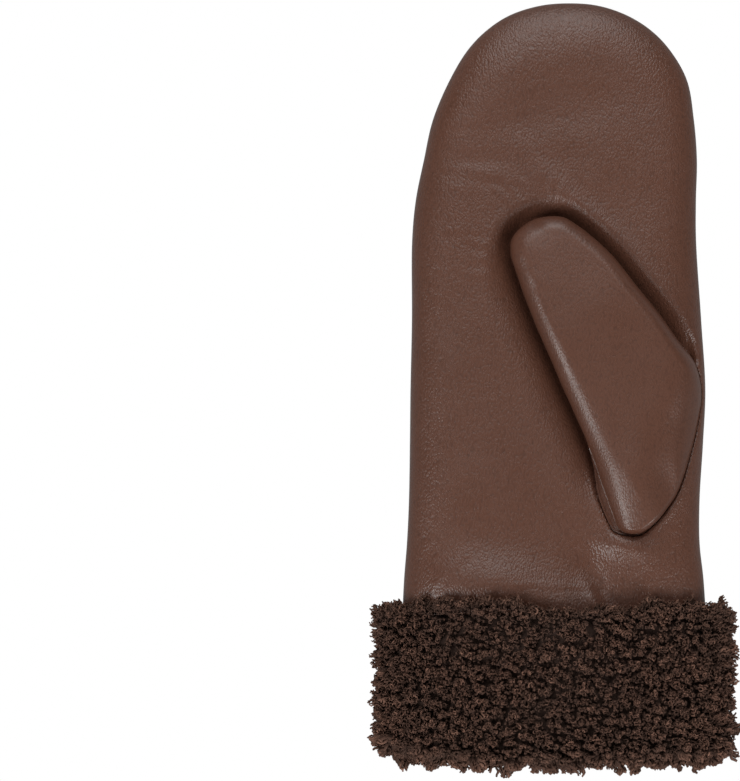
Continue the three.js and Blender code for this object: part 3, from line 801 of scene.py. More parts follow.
# %% Thread
def tubes(centres, radii, sides):
    """Points, quads and end caps of many tubes; centres is (count, rings, 3), radii (count, rings)."""
    count, rings = radii.shape
    ahead = np.gradient(centres, axis=1)
    ahead /= np.linalg.norm(ahead, axis=2, keepdims=True) + 1e-12
    helper = np.where(np.abs(ahead[:, :1, 2:]) > 0.8, [[[1.0, 0, 0]]], [[[0, 0, 1.0]]])
    side = np.cross(ahead, np.broadcast_to(helper, ahead.shape))
    for k in range(1, rings):
        before, way = side[:, k - 1], ahead[:, k]
        side[:, k] = before - (before * way).sum(axis=1, keepdims=True) * way
    side /= np.linalg.norm(side, axis=2, keepdims=True) + 1e-12
    other = np.cross(ahead, side)
    angle = 2 * np.pi * np.arange(sides) / sides
    ring = (
        np.cos(angle)[None, None, :, None] * side[:, :, None]
        + np.sin(angle)[None, None, :, None] * other[:, :, None]
    )
    points = centres[:, :, None] + ring * radii[:, :, None, None]
    index = np.arange(count * rings * sides).reshape(count, rings, sides)
    turned = np.roll(index, -1, axis=2)
    quads = np.stack([index[:, :-1], turned[:, :-1], turned[:, 1:], index[:, 1:]], axis=-1)
    ends = [index[:, 0, ::-1], index[:, -1]]
    return points.reshape(-1, 3), quads.reshape(-1, 4), np.vstack(ends)


def quick_piece(name, points, quads, caps, values=None):
    """A smooth mesh of quads and end caps, with one value a point kept as an attribute."""
    mesh = bpy.data.meshes.new(name)
    sides = caps.shape[1]
    mesh.vertices.add(len(points))
    mesh.vertices.foreach_set("co", (points * MM).astype(np.float32).ravel())
    loops = np.concatenate([quads.ravel(), caps.ravel()]).astype(np.int32)
    sizes = np.concatenate([np.full(len(quads), 4), np.full(len(caps), sides)])
    mesh.loops.add(len(loops))
    mesh.loops.foreach_set("vertex_index", loops)
    mesh.polygons.add(len(sizes))
    starts = np.concatenate([[0], np.cumsum(sizes)[:-1]]).astype(np.int32)
    mesh.polygons.foreach_set("loop_start", starts)
    mesh.polygons.foreach_set("use_smooth", np.ones(len(sizes), bool))
    mesh.update(calc_edges=True)
    mesh.validate()
    for attribute, data in (values or {}).items():
        layer = mesh.attributes.new(attribute, "FLOAT", "POINT")
        layer.data.foreach_set("value", data.astype(np.float32))
    piece = bpy.data.objects.new(name, mesh)
    bpy.context.scene.collection.objects.link(piece)
    return piece


def stitch_centres():
    centres = []
    for point in POINTS:
        start, end = point_ends(point)
        length = np.linalg.norm(end - start)
        along = (end - start) / length
        side = np.array([-along[1], along[0]])
        for sign in (-1, 1):
            for at in np.arange(2.5, length - 2.5, 2.3):
                steps = at + np.linspace(-0.9, 0.9, 7)
                plan = start + steps[:, None] * along + sign * STITCH_ROW * side
                z = back_outer(plan[:, 0], plan[:, 1])
                z = z - 0.12 * np.cos(np.linspace(-1.35, 1.35, 7)) + 0.02
                centres.append(np.column_stack([plan, z]))
    return np.array(centres)


centres = stitch_centres()
radii = np.tile([0.08, 0.2, 0.24, 0.25, 0.24, 0.2, 0.08], (len(centres), 1))
point_stitches = quick_piece("point_stitches", *tubes(centres, radii, 6))
print("point_stitches", len(centres), "stitches")

# %% [markdown]
# ## The side seam
#
# The two panels are sewn right sides together and turned, so their edges meet in a fine line all round
# the hand. A thin welt of thread and turned leather lies in that line, a little inside the outline. It
# is one long tube on the seam, and it closes the slit that would otherwise let light into the hand.

# %% Side seam
WELT_INSET = 0.9
WELT_RADIUS = 0.45
ahead = np.gradient(hand_curve, axis=0)
ahead /= np.linalg.norm(ahead, axis=1)[:, None]
welt_line = hand_curve + WELT_INSET * np.column_stack([ahead[:, 1], -ahead[:, 0]])
welt_centres = np.column_stack([welt_line, seam_height(welt_line[:, 1])])[None]
welt_radii = np.full((1, len(hand_curve)), WELT_RADIUS)
side_seam = quick_piece("side_seam", *tubes(welt_centres, welt_radii, 6))
print("side_seam", triangles(side_seam), "triangles")

# %% [markdown]
# ## The cuff's backing
#
# Curly shearling grows on its own skin, here folded into a band round the wrist. The backing is swept
# round the mitten's section: its bore hugs the leather where the two are sewn, and steps inwards below
# it. Only the pile shows from outside, but the backing closes the gaps between the curls and keeps the
# cuff a solid band.

# %% Section of the wrist and profile of the cuff
SECTION_COUNT = 160
PILE_LENGTH = 7.0


def wrist_section(y):
    """The leather's section, from the little finger's side over the palm and back underneath."""
    half = across_hand(WRIST_SHARE) * 0.995
    turn = 2 * np.pi * np.arange(SECTION_COUNT) / SECTION_COUNT
    x = -half * np.cos(turn)
    squared = np.sign(np.sin(turn)) * np.abs(np.sin(turn)) ** 0.45
    middle = seam_height(y)
    level_y = np.full(SECTION_COUNT, y)
    top = palm_level(x * 0, level_y, wrinkled=False)
    top_here = palm_level(x * 0.93, level_y, wrinkled=False)
    low = under(y)
    above = middle + (np.minimum(top, top_here) - middle) * squared
    below = middle + (middle - low) * squared
    return np.column_stack([x, np.where(squared > 0, above, below)])


def section_normals(section):
    ahead = np.roll(section, -1, axis=0) - np.roll(section, 1, axis=0)
    normal = np.column_stack([-ahead[:, 1], ahead[:, 0]])
    return normal / np.linalg.norm(normal, axis=1)[:, None]


def pile_depth(normal):
    share = normal[..., 1] ** 2
    facing = np.where(normal[..., 1] > 0, PILE_OVER, PILE_UNDER)
    return PILE_SIDE * (1 - share) + facing * share


SECTION_ROWS = [WRIST, WRIST + 4, WRIST + 8, CUFF_TOP + 3]
sections = np.array([wrist_section(y) for y in SECTION_ROWS])
normals = section_normals(sections[0])


def cuff_place(turn, out, y):
    """Points beside the leather's section: `turn` round it as a share, `out` from its skin."""
    u = (turn % 1) * SECTION_COUNT
    i = np.floor(u).astype(int) % SECTION_COUNT
    k = (i + 1) % SECTION_COUNT
    s = (u - np.floor(u))[..., None]
    row = np.interp(np.clip(y, WRIST, None), SECTION_ROWS, np.arange(len(SECTION_ROWS)))
    r = np.minimum(np.floor(row).astype(int), len(SECTION_ROWS) - 2)
    t = (row - r)[..., None]
    base = (sections[r, i] * (1 - s) + sections[r, k] * s) * (1 - t)
    base = base + (sections[r + 1, i] * (1 - s) + sections[r + 1, k] * s) * t
    normal = normals[i] * (1 - s) + normals[k] * s
    normal /= np.linalg.norm(normal, axis=-1, keepdims=True)
    place = base + normal * out[..., None]
    return np.stack([place[..., 0], y, place[..., 1]], axis=-1), normal


def corner_rise(turn):
    """The cuff's lower corners are cut away: how far its lower edge rises towards them."""
    sideways = np.cos(2 * np.pi * turn)
    return (4.0 + 0.8 * sideways) * ease(0.6, 1.0, np.abs(sideways))


def backing_profile(turn, depth):
    """The backing's closed profile as (out, y) at one place round the wrist."""
    full = depth - PILE_LENGTH + 0.8
    inside = -LEATHER
    foot = CUFF_BOTTOM + corner_rise(turn)
    return [
        (0.35, CUFF_TOP - 4),
        (full * 0.6, CUFF_TOP - 4.5),
        (full, CUFF_TOP - 8),
        (full, 0.5 * (CUFF_TOP + CUFF_BOTTOM)),
        (full, foot + 8),
        (full * 0.6, foot + 5),
        (inside + 1, foot + 4.5),
        (inside, foot + 6),
        (inside, WRIST - 1),
        (0.35, WRIST - 1),
    ]


turns = np.arange(SECTION_COUNT) / SECTION_COUNT
depths = pile_depth(normals)
profiles = np.array([backing_profile(turn, depth) for turn, depth in zip(turns, depths)])
backing_points, _ = cuff_place(
    np.repeat(turns[:, None], profiles.shape[1], axis=1), profiles[..., 0], profiles[..., 1]
)
backing_points[..., 2] = np.maximum(backing_points[..., 2], 1.5)
ring = np.arange(backing_points[..., 0].size).reshape(backing_points.shape[:2])
beside, onward = np.roll(ring, -1, 1), np.roll(ring, -1, 0)
backing_quads = np.stack([ring, beside, np.roll(onward, -1, 1), onward], axis=-1).reshape(-1, 4)
cuff_backing = new_piece("cuff_backing", backing_points.reshape(-1, 3), backing_quads)
print("cuff_backing", triangles(cuff_backing), "triangles")

# %% [markdown]
# ## The curls
#
# The pile is a deep, tight curl. Every curl is a short tube that winds as it rises from the backing,
# and thousands of them are built as one array and joined in a few meshes. They stand in domed locks:
# each curl leans towards the tip of its nearest lock, and is shorter near the lock's border, with painted
# shade in its colour there; this leaves the dark gaps between locks. Along both edges the locks splay
# outwards and fray the edge.
# Underneath, the mitten's weight presses them flat on the surface.


# %% Curls of the pile
def pile_profile(share, depth):
    """The foot of a curl on the rounded profile of the pile, and its way, each as (out, y)."""
    r = PILE_LENGTH
    full = depth - r
    level = np.zeros_like(share)
    lengths = np.stack(
        [
            full + level,
            0.5 * np.pi * r + level,
            (CUFF_HEIGHT - 2 * r) + level,
            0.5 * np.pi * r + level,
            full + 2 + level,
            12 + level,
        ],
        axis=-1,
    )
    starts = np.concatenate([np.zeros_like(lengths[..., :1]), np.cumsum(lengths, axis=-1)], axis=-1)
    at = share * starts[..., -1]
    part = (at[..., None] >= starts[..., 1:]).sum(axis=-1).clip(0, 5)
    t = at - np.take_along_axis(starts, part[..., None], -1)[..., 0]
    t = t / np.take_along_axis(lengths, part[..., None], -1)[..., 0]
    turn = t * np.pi / 2
    zero, one = np.zeros_like(t), np.ones_like(t)
    root_out = np.select(
        [part == 0, part <= 3, part == 4, part == 5],
        [full * t, full, full * (1 - t) - 2 * t, zero - 2],
    )
    root_y = np.select(
        [part <= 1, part == 2, part <= 4, part == 5],
        [
            (CUFF_TOP - r) * one,
            CUFF_TOP - r - t * (CUFF_HEIGHT - 2 * r),
            (CUFF_BOTTOM + r) * one,
            CUFF_BOTTOM + r + 12 * t,
        ],
    )
    way_out = np.select(
        [part == 0, part == 1, part == 2, part == 3, part == 4, part == 5],
        [0.35 * one, np.sin(turn) * 0.9 + 0.1, one, np.cos(turn), zero, -one],
    )
    way_y = np.select(
        [part == 0, part == 1, part == 2, part == 3, part == 4, part == 5],
        [one, np.cos(turn), zero, -np.sin(turn), -one, -0.35 * one],
    )
    return root_out, root_y, way_out, way_y


CURL_SPACING = 1.18
CURL_RINGS = 8
CURL_SIDES = 3
CURL_MESHES = 5
LOCK = {"around": 6.0, "along": 4.2}
GIRTH = 330.0
PROFILE = 110.0
UNDERFUR = 0.22
OPEN_RINGLETS = 0.2
LOWER_EDGE = 0.76
MOUTH = (0.74, 0.88)
SHARE_KEPT = {"slanting": 0.3, "underneath": 0.18, "mouth": 0.7, "inside": 0.3}
LONG_TUFTS = {"sides": 0.4, "lower_edge": 0.6}
PRESSED_BELOW, PRESSED_LEAST = 1.6, 0.35


def jittered(spacing_around, spacing_along, jitter):
    """Places (turn, share) over the pile, one in each cell of a grid, moved at random in its cell."""
    cells = (round(GIRTH / spacing_around), round(PROFILE / spacing_along))
    grid = np.stack(np.meshgrid(np.arange(cells[0]), np.arange(cells[1]), indexing="ij"), axis=-1)
    return ((grid + 0.5 + rng.uniform(-jitter, jitter, grid.shape)) / cells).reshape(-1, 2)


# Fewer curls grow where they are hidden, underneath and inside the cuff
spots = jittered(CURL_SPACING, CURL_SPACING, 0.5)
_, spot_normal = cuff_place(spots[:, 0], np.zeros(len(spots)), np.full(len(spots), WRIST))
facing, share = spot_normal[:, 1], spots[:, 1]
beneath = np.select(
    [facing > -0.3, facing > -0.7], [1.0, SHARE_KEPT["slanting"]], SHARE_KEPT["underneath"]
)
at_mouth = (share > MOUTH[0]) & (share < MOUTH[1])
weight = np.where(at_mouth, np.maximum(beneath, SHARE_KEPT["mouth"]), beneath)
weight = weight * np.where(share > MOUTH[1], SHARE_KEPT["inside"], 1.0)
spots = spots[rng.uniform(0, 1, len(spots)) < weight]
print("curls", len(spots))

# Locks: jittered centres, each with its own lean, height and share of painted highlight
centres = jittered(LOCK["around"], LOCK["along"], 0.45)
warp = 0.012 * value_noise(spots[:, 0] * GIRTH, spots[:, 1] * PROFILE, 9, 21)
warped = spots + np.stack([warp, warp * GIRTH / PROFILE], axis=1)
nearest = np.empty(len(spots), int)
inward = np.empty(len(spots))
for start in range(0, len(spots), 1024):
    gap = warped[start : start + 1024, None] - centres[None]
    gap[..., 0] -= np.round(gap[..., 0])
    far = np.sqrt(((gap * [GIRTH / 1.3, PROFILE]) ** 2).sum(axis=2))
    nearest[start : start + 1024] = far.argmin(axis=1)
    two = np.partition(far, 1, axis=1)[:, :2]
    inward[start : start + 1024] = (two[:, 1] - two[:, 0]) / (two[:, 1] + two[:, 0])
lock_lean = rng.normal(0, 1, (len(centres), 2))
lock_height = rng.uniform(0.8, 1.12, len(centres))
at_sides = np.abs(np.cos(2 * np.pi * centres[:, 0])) > 0.97
at_lower_edge = np.abs(centres[:, 1] - LOWER_EDGE) < 0.06
tuft = np.maximum(LONG_TUFTS["sides"] * at_sides, LONG_TUFTS["lower_edge"] * at_lower_edge)
lock_height += tuft * rng.uniform(0, 1, len(centres)) ** 2
lock_highlight = rng.uniform(0, 1, len(centres))


def edge_sway(turn, share):
    """How far the fur's edges wander along the mitten, in millimetres."""
    around = turn * GIRTH
    wander = lambda scale, seed: value_noise(around, 0 * around, scale, seed)
    place = -np.cos(2 * np.pi * turn)
    lap = 2.3 + 2.0 * ease(-1.0, -0.85, place) * (1 - ease(-0.26, -0.12, place)) * (turn < 0.5)
    top = lap + 2.0 * wander(15, 31) + 1.3 * wander(5, 32)
    foot = 1.2 * wander(17, 33) + 1.0 * wander(6, 34) + corner_rise(turn)
    at_top = 1 - ease(0.1, 0.25, share)
    return top * at_top + foot * ease(0.5, 0.66, share) * (1 - ease(0.8, 0.86, share))


def curl_frame(turn, share):
    """The root of a curl, the way out from the wrist there, and the way it grows."""
    _, normal = cuff_place(turn, np.zeros(len(turn)), np.full(len(turn), WRIST))
    root_out, root_y, way_out, way_y = pile_profile(share, pile_depth(normal))
    root, normal = cuff_place(turn, root_out, root_y + edge_sway(turn, share))
    outward = np.stack([normal[:, 0], np.zeros(len(normal)), normal[:, 1]], axis=1)
    direction = outward * way_out[:, None] + np.array([0.0, 1.0, 0.0]) * way_y[:, None]
    return root, outward, direction / np.linalg.norm(direction, axis=1)[:, None]


root, _, direction = curl_frame(*spots.T)
lock_root, lock_out, lock_way = curl_frame(*centres.T)
around = np.cross(np.array([0.0, 1.0, 0.0]), lock_out)
beside = np.cross(lock_way, around)
lock_way = lock_way + 0.4 * lock_lean[:, :1] * around + 0.3 * lock_lean[:, 1:] * beside
lock_tip = lock_root + lock_way * (PILE_LENGTH * lock_height)[:, None]

# A curl leans from its own root towards its lock's tip; underfur stays short and fills the gaps
turn = spots[:, 0]
kind = rng.uniform(0, 1, len(turn))
in_underfur = kind < UNDERFUR
is_open = kind > 1 - OPEN_RINGLETS
# A lock's middle stands higher than its border
domed = ease(0, 0.55, inward)
reach = lock_height[nearest] * rng.uniform(0.84, 1.02, len(turn)) * (0.62 + 0.38 * domed)
reach += 0.1 * value_noise(turn * GIRTH, root[:, 1], 16, 41)
reach = np.where(in_underfur, rng.uniform(0.45, 0.68, len(turn)), reach)
own_tip = root + direction * (PILE_LENGTH * reach)[:, None]
# Curls gather towards the lock's tip, most of all in the tufts of the lower edge
at_foot = ease(0.66, 0.73, spots[:, 1]) * (1 - ease(0.8, 0.88, spots[:, 1]))
gather = rng.uniform(0.25, 0.48, len(turn)) + 0.34 * at_foot
gather = np.where(in_underfur, 0.0, gather)[:, None]
aim = own_tip * (1 - gather) + lock_tip[nearest] * gather
stray = rng.normal(0, 0.6, (len(turn), 3))
aim += stray - (stray * direction).sum(axis=1, keepdims=True) * direction
direction = aim - root
height = np.linalg.norm(direction, axis=1)
direction /= height[:, None]

first = np.cross(direction, np.where(np.abs(direction[:, 1:2]) > 0.8, [[1.0, 0, 0]], [[0, 1.0, 0]]))
first /= np.linalg.norm(first, axis=1)[:, None]
second = np.cross(direction, first)
# Each curl winds round its own line, and an open ringlet winds wider and is thinner
t = np.linspace(0, 1, CURL_RINGS)[None, :]
winding = rng.uniform(1.1, 2.0, len(turn))[:, None] * rng.choice([-1, 1], len(turn))[:, None]
phase = rng.uniform(0, 2 * np.pi, len(turn))[:, None]
coil = np.where(is_open, rng.uniform(0.55, 0.85, len(turn)), rng.uniform(0.3, 0.55, len(turn)))
coil = coil[:, None] * (0.35 + 0.65 * ease(0, 0.6, t))
angle = phase + 2 * np.pi * winding * t
lift = 0.25 + 0.75 * t - 0.12 * t**2
curls = (
    root[:, None]
    + direction[:, None] * (height[:, None] * lift)[..., None]
    + first[:, None] * (coil * np.cos(angle))[..., None]
    + second[:, None] * (coil * np.sin(angle))[..., None]
)
# Curls that reach the table are pressed flat on it, without crossing it
low = curls[..., 2]
room = PRESSED_BELOW - PRESSED_LEAST
pressed = PRESSED_LEAST + room * np.exp(np.minimum(low - PRESSED_BELOW, 0) / room)
curls[..., 2] = np.where(low < PRESSED_BELOW, pressed, low)
girths = np.where(is_open, rng.uniform(0.26, 0.34, len(turn)), rng.uniform(0.3, 0.44, len(turn)))
at_side = ease(0.93, 1.0, np.abs(np.cos(2 * np.pi * turn)))
girths = (girths * (1 + 0.7 * at_foot + 0.3 * at_side))[:, None] * (1 - 0.3 * t**3)
# Painted light and shade: roots dark, tips lighter, more so in noise patches, on taller locks and lock
# middles
patch_tone_and_light = 0.72 + 0.34 * value_noise(turn * GIRTH, root[:, 1], 13, 51)
patch_tone_and_light += 0.5 * (lock_height[nearest] - 0.92)
tip_light_now = t**1.2 * (np.clip(patch_tone_and_light + 0.3, 0, 1.2) * (0.4 + 0.6 * domed))[:, None]
# Underfur gets more painted shade and stays dark along its length
tip_light_now = np.where(in_underfur[:, None], 0.3 * t, tip_light_now)
painted_tip_light = np.repeat(tip_light_now[..., None], CURL_SIDES, axis=2)
# A random share for each curl, larger on open ringlets, sets how much painted highlight its tip gets
highlight_share_now = 0.75 * rng.uniform(0, 1, len(turn)) + 0.25 * lock_highlight[nearest] + 0.12 * is_open
highlight_share = np.broadcast_to(np.clip(highlight_share_now, 0, 1)[:, None, None], painted_tip_light.shape)

pile = []
for number in range(CURL_MESHES):
    chosen = np.arange(number, len(turn), CURL_MESHES)
    mesh_parts = tubes(curls[chosen], girths[chosen], CURL_SIDES)
    values = {"painted_tip_light": painted_tip_light[chosen].ravel(), "highlight_share": highlight_share[chosen].ravel()}
    piece = quick_piece(f"fur_curls_{number + 1}", *mesh_parts, values)
    pile.append(piece)
    print(piece.name, len(chosen), "curls", triangles(piece), "triangles")

# %% [markdown]
# ## Materials
#
# The leather is a dyed nappa: a soft sheen over a fine pebbled grain, with painted shade in the pits of
# the grain, and uneven in tone as dyed skin is. On the thumb it is stretched, so its grain is shallower.
# The grain and the tone are node groups, so the same leather can dress another part. The fur takes its
# colour from two values that each curl carries: painted light that grows along the curl, which paints
# shade at the roots and light at the tips, and a random share for the whole curl, which paints a warm
# highlight on the tips of some.


# %% Shared node groups
def new_group(name, inputs, outputs):
    group = bpy.data.node_groups.new(name, "ShaderNodeTree")
    for label, kind, value in inputs:
        socket = group.interface.new_socket(label, in_out="INPUT", socket_type=kind)
        if value is not None:
            socket.default_value = value
    for label, kind in outputs:
        group.interface.new_socket(label, in_out="OUTPUT", socket_type=kind)
    source = group.nodes.new("NodeGroupInput")
    target = group.nodes.new("NodeGroupOutput")
    return group, source, target


def math_node(tree, operation, a, b=None, clamp=False):
    node = tree.nodes.new("ShaderNodeMath")
    node.operation = operation
    node.use_clamp = clamp
    for socket, value in zip(node.inputs, (a, b)):
        if isinstance(value, bpy.types.NodeSocket):
            tree.links.new(value, socket)
        elif value is not None:
            socket.default_value = value
    return node.outputs[0]


def noise_node(tree, vector, scale, detail=2.0, roughness=0.5):
    node = tree.nodes.new("ShaderNodeTexNoise")
    tree.links.new(vector, node.inputs["Vector"])
    for label, value in (("Scale", scale), ("Detail", detail), ("Roughness", roughness)):
        if isinstance(value, bpy.types.NodeSocket):
            tree.links.new(value, node.inputs[label])
        else:
            node.inputs[label].default_value = value
    return node.outputs["Fac"]


def grain_group():
    """Pebbled grain as a height from 0 to 1, and a mask of its pits that is used for painted shade."""
    group, source, target = new_group(
        "LeatherGrain",
        [("Vector", "NodeSocketVector", None), ("Pebbles per metre", "NodeSocketFloat", 1500.0)],
        [("Height", "NodeSocketFloat"), ("PitShade", "NodeSocketFloat")],
    )
    drift = group.nodes.new("ShaderNodeTexNoise")
    drift.inputs["Scale"].default_value = 260
    drift.inputs["Detail"].default_value = 2
    group.links.new(source.outputs["Vector"], drift.inputs["Vector"])
    moved = group.nodes.new("ShaderNodeVectorMath")
    moved.operation = "MULTIPLY_ADD"
    moved.inputs[1].default_value = (0.0012, 0.0012, 0.0012)
    group.links.new(drift.outputs["Color"], moved.inputs[0])
    stretched = group.nodes.new("ShaderNodeVectorMath")
    stretched.operation = "MULTIPLY"
    stretched.inputs[1].default_value = (1.0, 0.6, 1.0)
    group.links.new(source.outputs["Vector"], stretched.inputs[0])
    group.links.new(stretched.outputs[0], moved.inputs[2])
    cells = group.nodes.new("ShaderNodeTexVoronoi")
    cells.feature = "SMOOTH_F1"
    cells.inputs["Smoothness"].default_value = 0.35
    group.links.new(moved.outputs[0], cells.inputs["Vector"])
    group.links.new(source.outputs["Pebbles per metre"], cells.inputs["Scale"])
    fine = noise_node(group, moved.outputs[0], 2600, 1)
    pebble = math_node(group, "SUBTRACT", 1.0, cells.outputs["Distance"])
    height = math_node(group, "ADD", pebble, math_node(group, "MULTIPLY", fine, 0.35))
    pits = math_node(group, "SUBTRACT", cells.outputs["Distance"], 0.45, clamp=True)
    group.links.new(height, target.inputs["Height"])
    group.links.new(pits, target.inputs["PitShade"])
    return group


def tone_group():
    """A dyed skin's uneven tone, lighter and darker in soft patches, with painted shade darkening the
    grain's pits.
    """
    group, source, target = new_group(
        "DyedToneAndPitShade",
        [
            ("Vector", "NodeSocketVector", None),
            ("Colour", "NodeSocketColor", (0.1, 0.05, 0.04, 1)),
            ("Unevenness", "NodeSocketFloat", 0.2),
            ("PitShade", "NodeSocketFloat", 0.0),
        ],
        [("Colour", "NodeSocketColor")],
    )
    broad = math_node(group, "MULTIPLY", noise_node(group, source.outputs["Vector"], 28, 3), 0.65)
    small = math_node(group, "MULTIPLY", noise_node(group, source.outputs["Vector"], 330, 2), 0.35)
    centred = math_node(group, "SUBTRACT", math_node(group, "ADD", broad, small), 0.5)
    swing = math_node(group, "MULTIPLY", centred, source.outputs["Unevenness"])
    # Painted shade: the grain's pits are darkened in the colour
    pit_shade = math_node(group, "MULTIPLY", source.outputs["PitShade"], 0.5)
    value = math_node(group, "SUBTRACT", math_node(group, "ADD", swing, 1.0), pit_shade)
    tint = group.nodes.new("ShaderNodeHueSaturation")
    group.links.new(source.outputs["Colour"], tint.inputs["Color"])
    group.links.new(value, tint.inputs["Value"])
    group.links.new(tint.outputs["Color"], target.inputs["Colour"])
    return group


grain = grain_group()
tone = tone_group()
print("groups", grain.name, tone.name)


# %% Leather, thread and fur
def new_material(name):
    material = bpy.data.materials.new(name)
    material.use_nodes = True
    tree = material.node_tree
    return material, tree, tree.nodes["Principled BSDF"]


def object_coordinates(tree):
    return tree.nodes.new("ShaderNodeTexCoord").outputs["Object"]


def leather_material(name, colour, roughness, relief):
    material, tree, surface = new_material(name)
    vector = object_coordinates(tree)
    pebbles = tree.nodes.new("ShaderNodeGroup")
    pebbles.node_tree = grain
    tree.links.new(vector, pebbles.inputs["Vector"])
    dye = tree.nodes.new("ShaderNodeGroup")
    dye.node_tree = tone
    dye.inputs["Colour"].default_value = (*colour, 1)
    dye.inputs["Unevenness"].default_value = 0.22
    tree.links.new(vector, dye.inputs["Vector"])
    # The grain's pit mask paints shade into the leather's colour
    tree.links.new(pebbles.outputs["PitShade"], dye.inputs["PitShade"])
    tree.links.new(dye.outputs["Colour"], surface.inputs["Base Color"])
    rough = noise_node(tree, vector, 60, 3)
    spread = math_node(tree, "MULTIPLY", math_node(tree, "SUBTRACT", rough, 0.5), 0.18)
    tree.links.new(math_node(tree, "ADD", spread, roughness), surface.inputs["Roughness"])
    surface.inputs["Specular IOR Level"].default_value = 0.5
    bump = tree.nodes.new("ShaderNodeBump")
    bump.inputs["Distance"].default_value = relief
    bump.inputs["Strength"].default_value = 1.0
    tree.links.new(pebbles.outputs["Height"], bump.inputs["Height"])
    tree.links.new(bump.outputs["Normal"], surface.inputs["Normal"])
    return material


def fur_material(name, shaded_root_colour, lit_tip_colour, highlight_colour):
    material, tree, surface = new_material(name)
    reads = []
    for label in ("painted_tip_light", "highlight_share"):
        read = tree.nodes.new("ShaderNodeAttribute")
        read.attribute_name = label
        reads.append(read.outputs["Fac"])
    # Painted shade at the roots and painted light at the tips
    along = tree.nodes.new("ShaderNodeValToRGB")
    along.color_ramp.elements[0].color = (*shaded_root_colour, 1)
    along.color_ramp.elements[1].color = (*lit_tip_colour, 1)
    along.color_ramp.elements[0].position = 0.15
    along.color_ramp.elements[1].position = 0.85
    tree.links.new(reads[0], along.inputs["Fac"])
    # Painted highlight: the tips of some curls are mixed towards a warm, lighter colour
    highlight_mix = tree.nodes.new("ShaderNodeMix")
    highlight_mix.data_type = "RGBA"
    highlight_mix.inputs["B"].default_value = (*highlight_colour, 1)
    tree.links.new(along.outputs["Color"], highlight_mix.inputs["A"])
    lit = math_node(tree, "MULTIPLY", math_node(tree, "POWER", reads[1], 2.6), 0.85)
    lit = math_node(tree, "MULTIPLY", lit, reads[0], clamp=True)
    tree.links.new(lit, highlight_mix.inputs["Factor"])
    tree.links.new(highlight_mix.outputs["Result"], surface.inputs["Base Color"])
    surface.inputs["Roughness"].default_value = 0.62
    surface.inputs["Specular IOR Level"].default_value = 0.25
    surface.inputs["Specular Tint"].default_value = (0.9, 0.6, 0.45, 1)
    return material


def plain_material(name, colour, roughness, shine=0.5):
    material, _, surface = new_material(name)
    surface.inputs["Specular IOR Level"].default_value = shine
    surface.inputs["Base Color"].default_value = (*colour, 1)
    surface.inputs["Roughness"].default_value = roughness
    return material


NAPPA_BROWN = (0.107, 0.0435, 0.0263)
nappa = leather_material("nappa_leather", NAPPA_BROWN, roughness=0.36, relief=0.00018)
stretched_nappa = leather_material("stretched_nappa", NAPPA_BROWN, roughness=0.37, relief=0.00008)
thread = plain_material("thread", (0.05, 0.026, 0.02), roughness=0.6)
# Painted light on the fur: a shaded root colour, a lit tip colour and a warm highlight colour
curl = fur_material(
    "curly_pile",
    shaded_root_colour=(0.062, 0.037, 0.029),
    lit_tip_colour=(0.09, 0.048, 0.035),
    highlight_colour=(0.27, 0.144, 0.102),
)
skin_side = plain_material("pile_backing", (0.05, 0.031, 0.0245), roughness=0.95, shine=0.1)

dressed = {
    palm: (nappa, "palm_panel", "leather"),
    back: (nappa, "back_panel", "leather"),
    thumb: (stretched_nappa, "thumb", "leather"),
    point_stitches: (thread, None, "leather"),
    side_seam: (thread, None, "leather"),
    cuff_backing: (skin_side, "fur_cuff", "fur"),
    **{piece: (curl, "fur_cuff", "fur") for piece in pile},
}
for piece, (material, node, slot) in dressed.items():
    piece.data.materials.clear()
    piece.data.materials.append(material)
    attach(piece, "root")
    if node:
        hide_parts(node)
print("dressed", len(dressed), "pieces")

# %% [markdown]
# ## The photographer's table
#
# The mitten is seen from straight above with a long lens, so its outline has almost no perspective. It
# lies on a lit white table, which leaves the ground pure white. Four soft boxes give the leather its
# broad highlights: one over the fingers and one beyond them, one on the little finger's side and one
# beyond the cuff. The white surroundings fill the rest.

# %% Stage, lights and camera
PIXEL = 0.371 * MM
IMAGE = (740, 781)
ORIGIN_IN_IMAGE = (554, 386)
CENTRE = (
    (IMAGE[0] / 2 - ORIGIN_IN_IMAGE[0]) * PIXEL,
    (ORIGIN_IN_IMAGE[1] - IMAGE[1] / 2) * PIXEL,
)
TABLE_SPILL = 0.3
TABLE_HALF = 4
table_mesh = bpy.data.meshes.new("table")
table_corners = [(TABLE_HALF * a, TABLE_HALF * b, 0) for a, b in ((-1, -1), (1, -1), (1, 1), (-1, 1))]
table_mesh.from_pydata(table_corners, [], [(0, 1, 2, 3)])
table = bpy.data.objects.new("table", table_mesh)
bpy.context.scene.collection.objects.link(table)
white = bpy.data.materials.new("lit_table")
white.use_nodes = True
tree = white.node_tree
tree.nodes.remove(tree.nodes["Principled BSDF"])
glow = tree.nodes.new("ShaderNodeEmission")
glow.inputs["Color"].default_value = (1, 1, 1, 1)
seen = tree.nodes.new("ShaderNodeLightPath").outputs["Is Camera Ray"]
spill = math_node(tree, "ADD", math_node(tree, "MULTIPLY", seen, 1.0 - TABLE_SPILL), TABLE_SPILL)
tree.links.new(spill, glow.inputs["Strength"])
tree.links.new(glow.outputs[0], tree.nodes["Material Output"].inputs["Surface"])
table_mesh.materials.append(white)

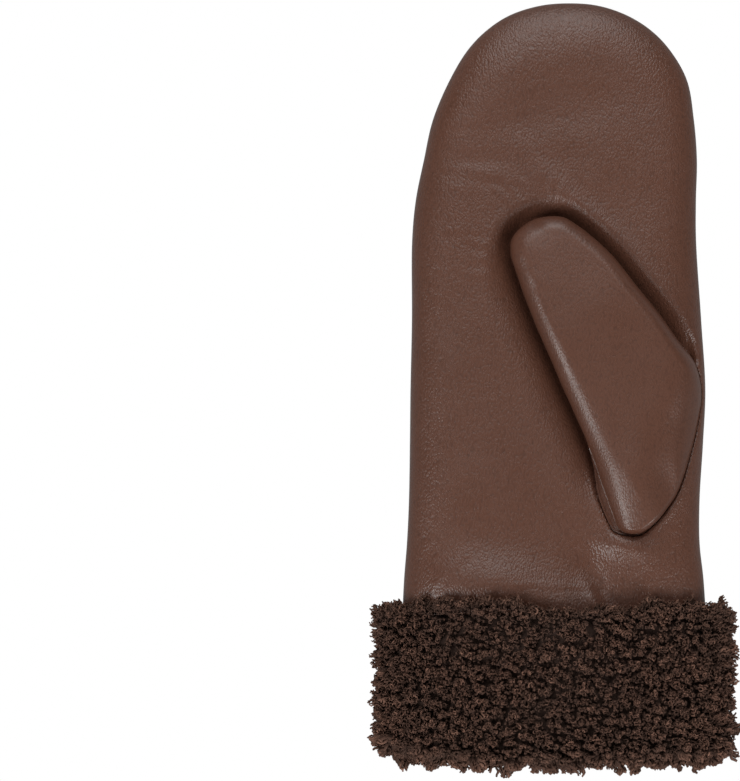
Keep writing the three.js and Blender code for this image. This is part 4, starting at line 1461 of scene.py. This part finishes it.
world = bpy.data.worlds.new("studio")
world.use_nodes = True
world.node_tree.nodes["Background"].inputs["Color"].default_value = (1, 1, 1, 1)
world.node_tree.nodes["Background"].inputs["Strength"].default_value = 0.1
bpy.context.scene.world = world

SOFT_BOXES = [
    {"name": "beyond_the_fingers", "turn": 90, "from_top": 64, "far": 1.1, "size": 0.9, "watts": 5.5},
    {"name": "over_the_fingers", "turn": 97, "from_top": 39, "far": 1.2, "size": 0.9, "watts": 3.8},
    {"name": "little_finger_side", "turn": 215, "from_top": 52, "far": 1.6, "size": 0.75, "watts": 14.5},
    {"name": "beyond_the_cuff", "turn": 312, "from_top": 60, "far": 1.6, "size": 0.9, "watts": 16.5},
]
for box in SOFT_BOXES:
    light = bpy.data.lights.new(box["name"], "AREA")
    light.shape = "SQUARE"
    light.size = box["size"]
    light.energy = box["watts"]
    lamp = bpy.data.objects.new(box["name"], light)
    turn, from_top = math.radians(box["turn"]), math.radians(box["from_top"])
    aside = math.sin(from_top)
    place = Vector((aside * math.cos(turn), aside * math.sin(turn), math.cos(from_top)))
    lamp.location = box["far"] * place
    lamp.rotation_euler = (-place).to_track_quat("-Z", "Y").to_euler()
    bpy.context.scene.collection.objects.link(lamp)

CAMERA_HEIGHT = 4.0
FOCUS_HEIGHT = 0.012
SENSOR = 24.0
camera_data = bpy.data.cameras.new("camera")
camera_data.sensor_fit = "VERTICAL"
camera_data.sensor_height = SENSOR
camera_data.lens = SENSOR * (CAMERA_HEIGHT - FOCUS_HEIGHT) / (IMAGE[1] * PIXEL)
camera = bpy.data.objects.new("camera", camera_data)
camera.location = (*CENTRE, CAMERA_HEIGHT)
bpy.context.scene.collection.objects.link(camera)
bpy.context.scene.camera = camera
bpy.context.scene.view_settings.view_transform = "Standard"
bpy.context.scene.view_settings.look = "None"
print("lens", round(camera_data.lens), "mm")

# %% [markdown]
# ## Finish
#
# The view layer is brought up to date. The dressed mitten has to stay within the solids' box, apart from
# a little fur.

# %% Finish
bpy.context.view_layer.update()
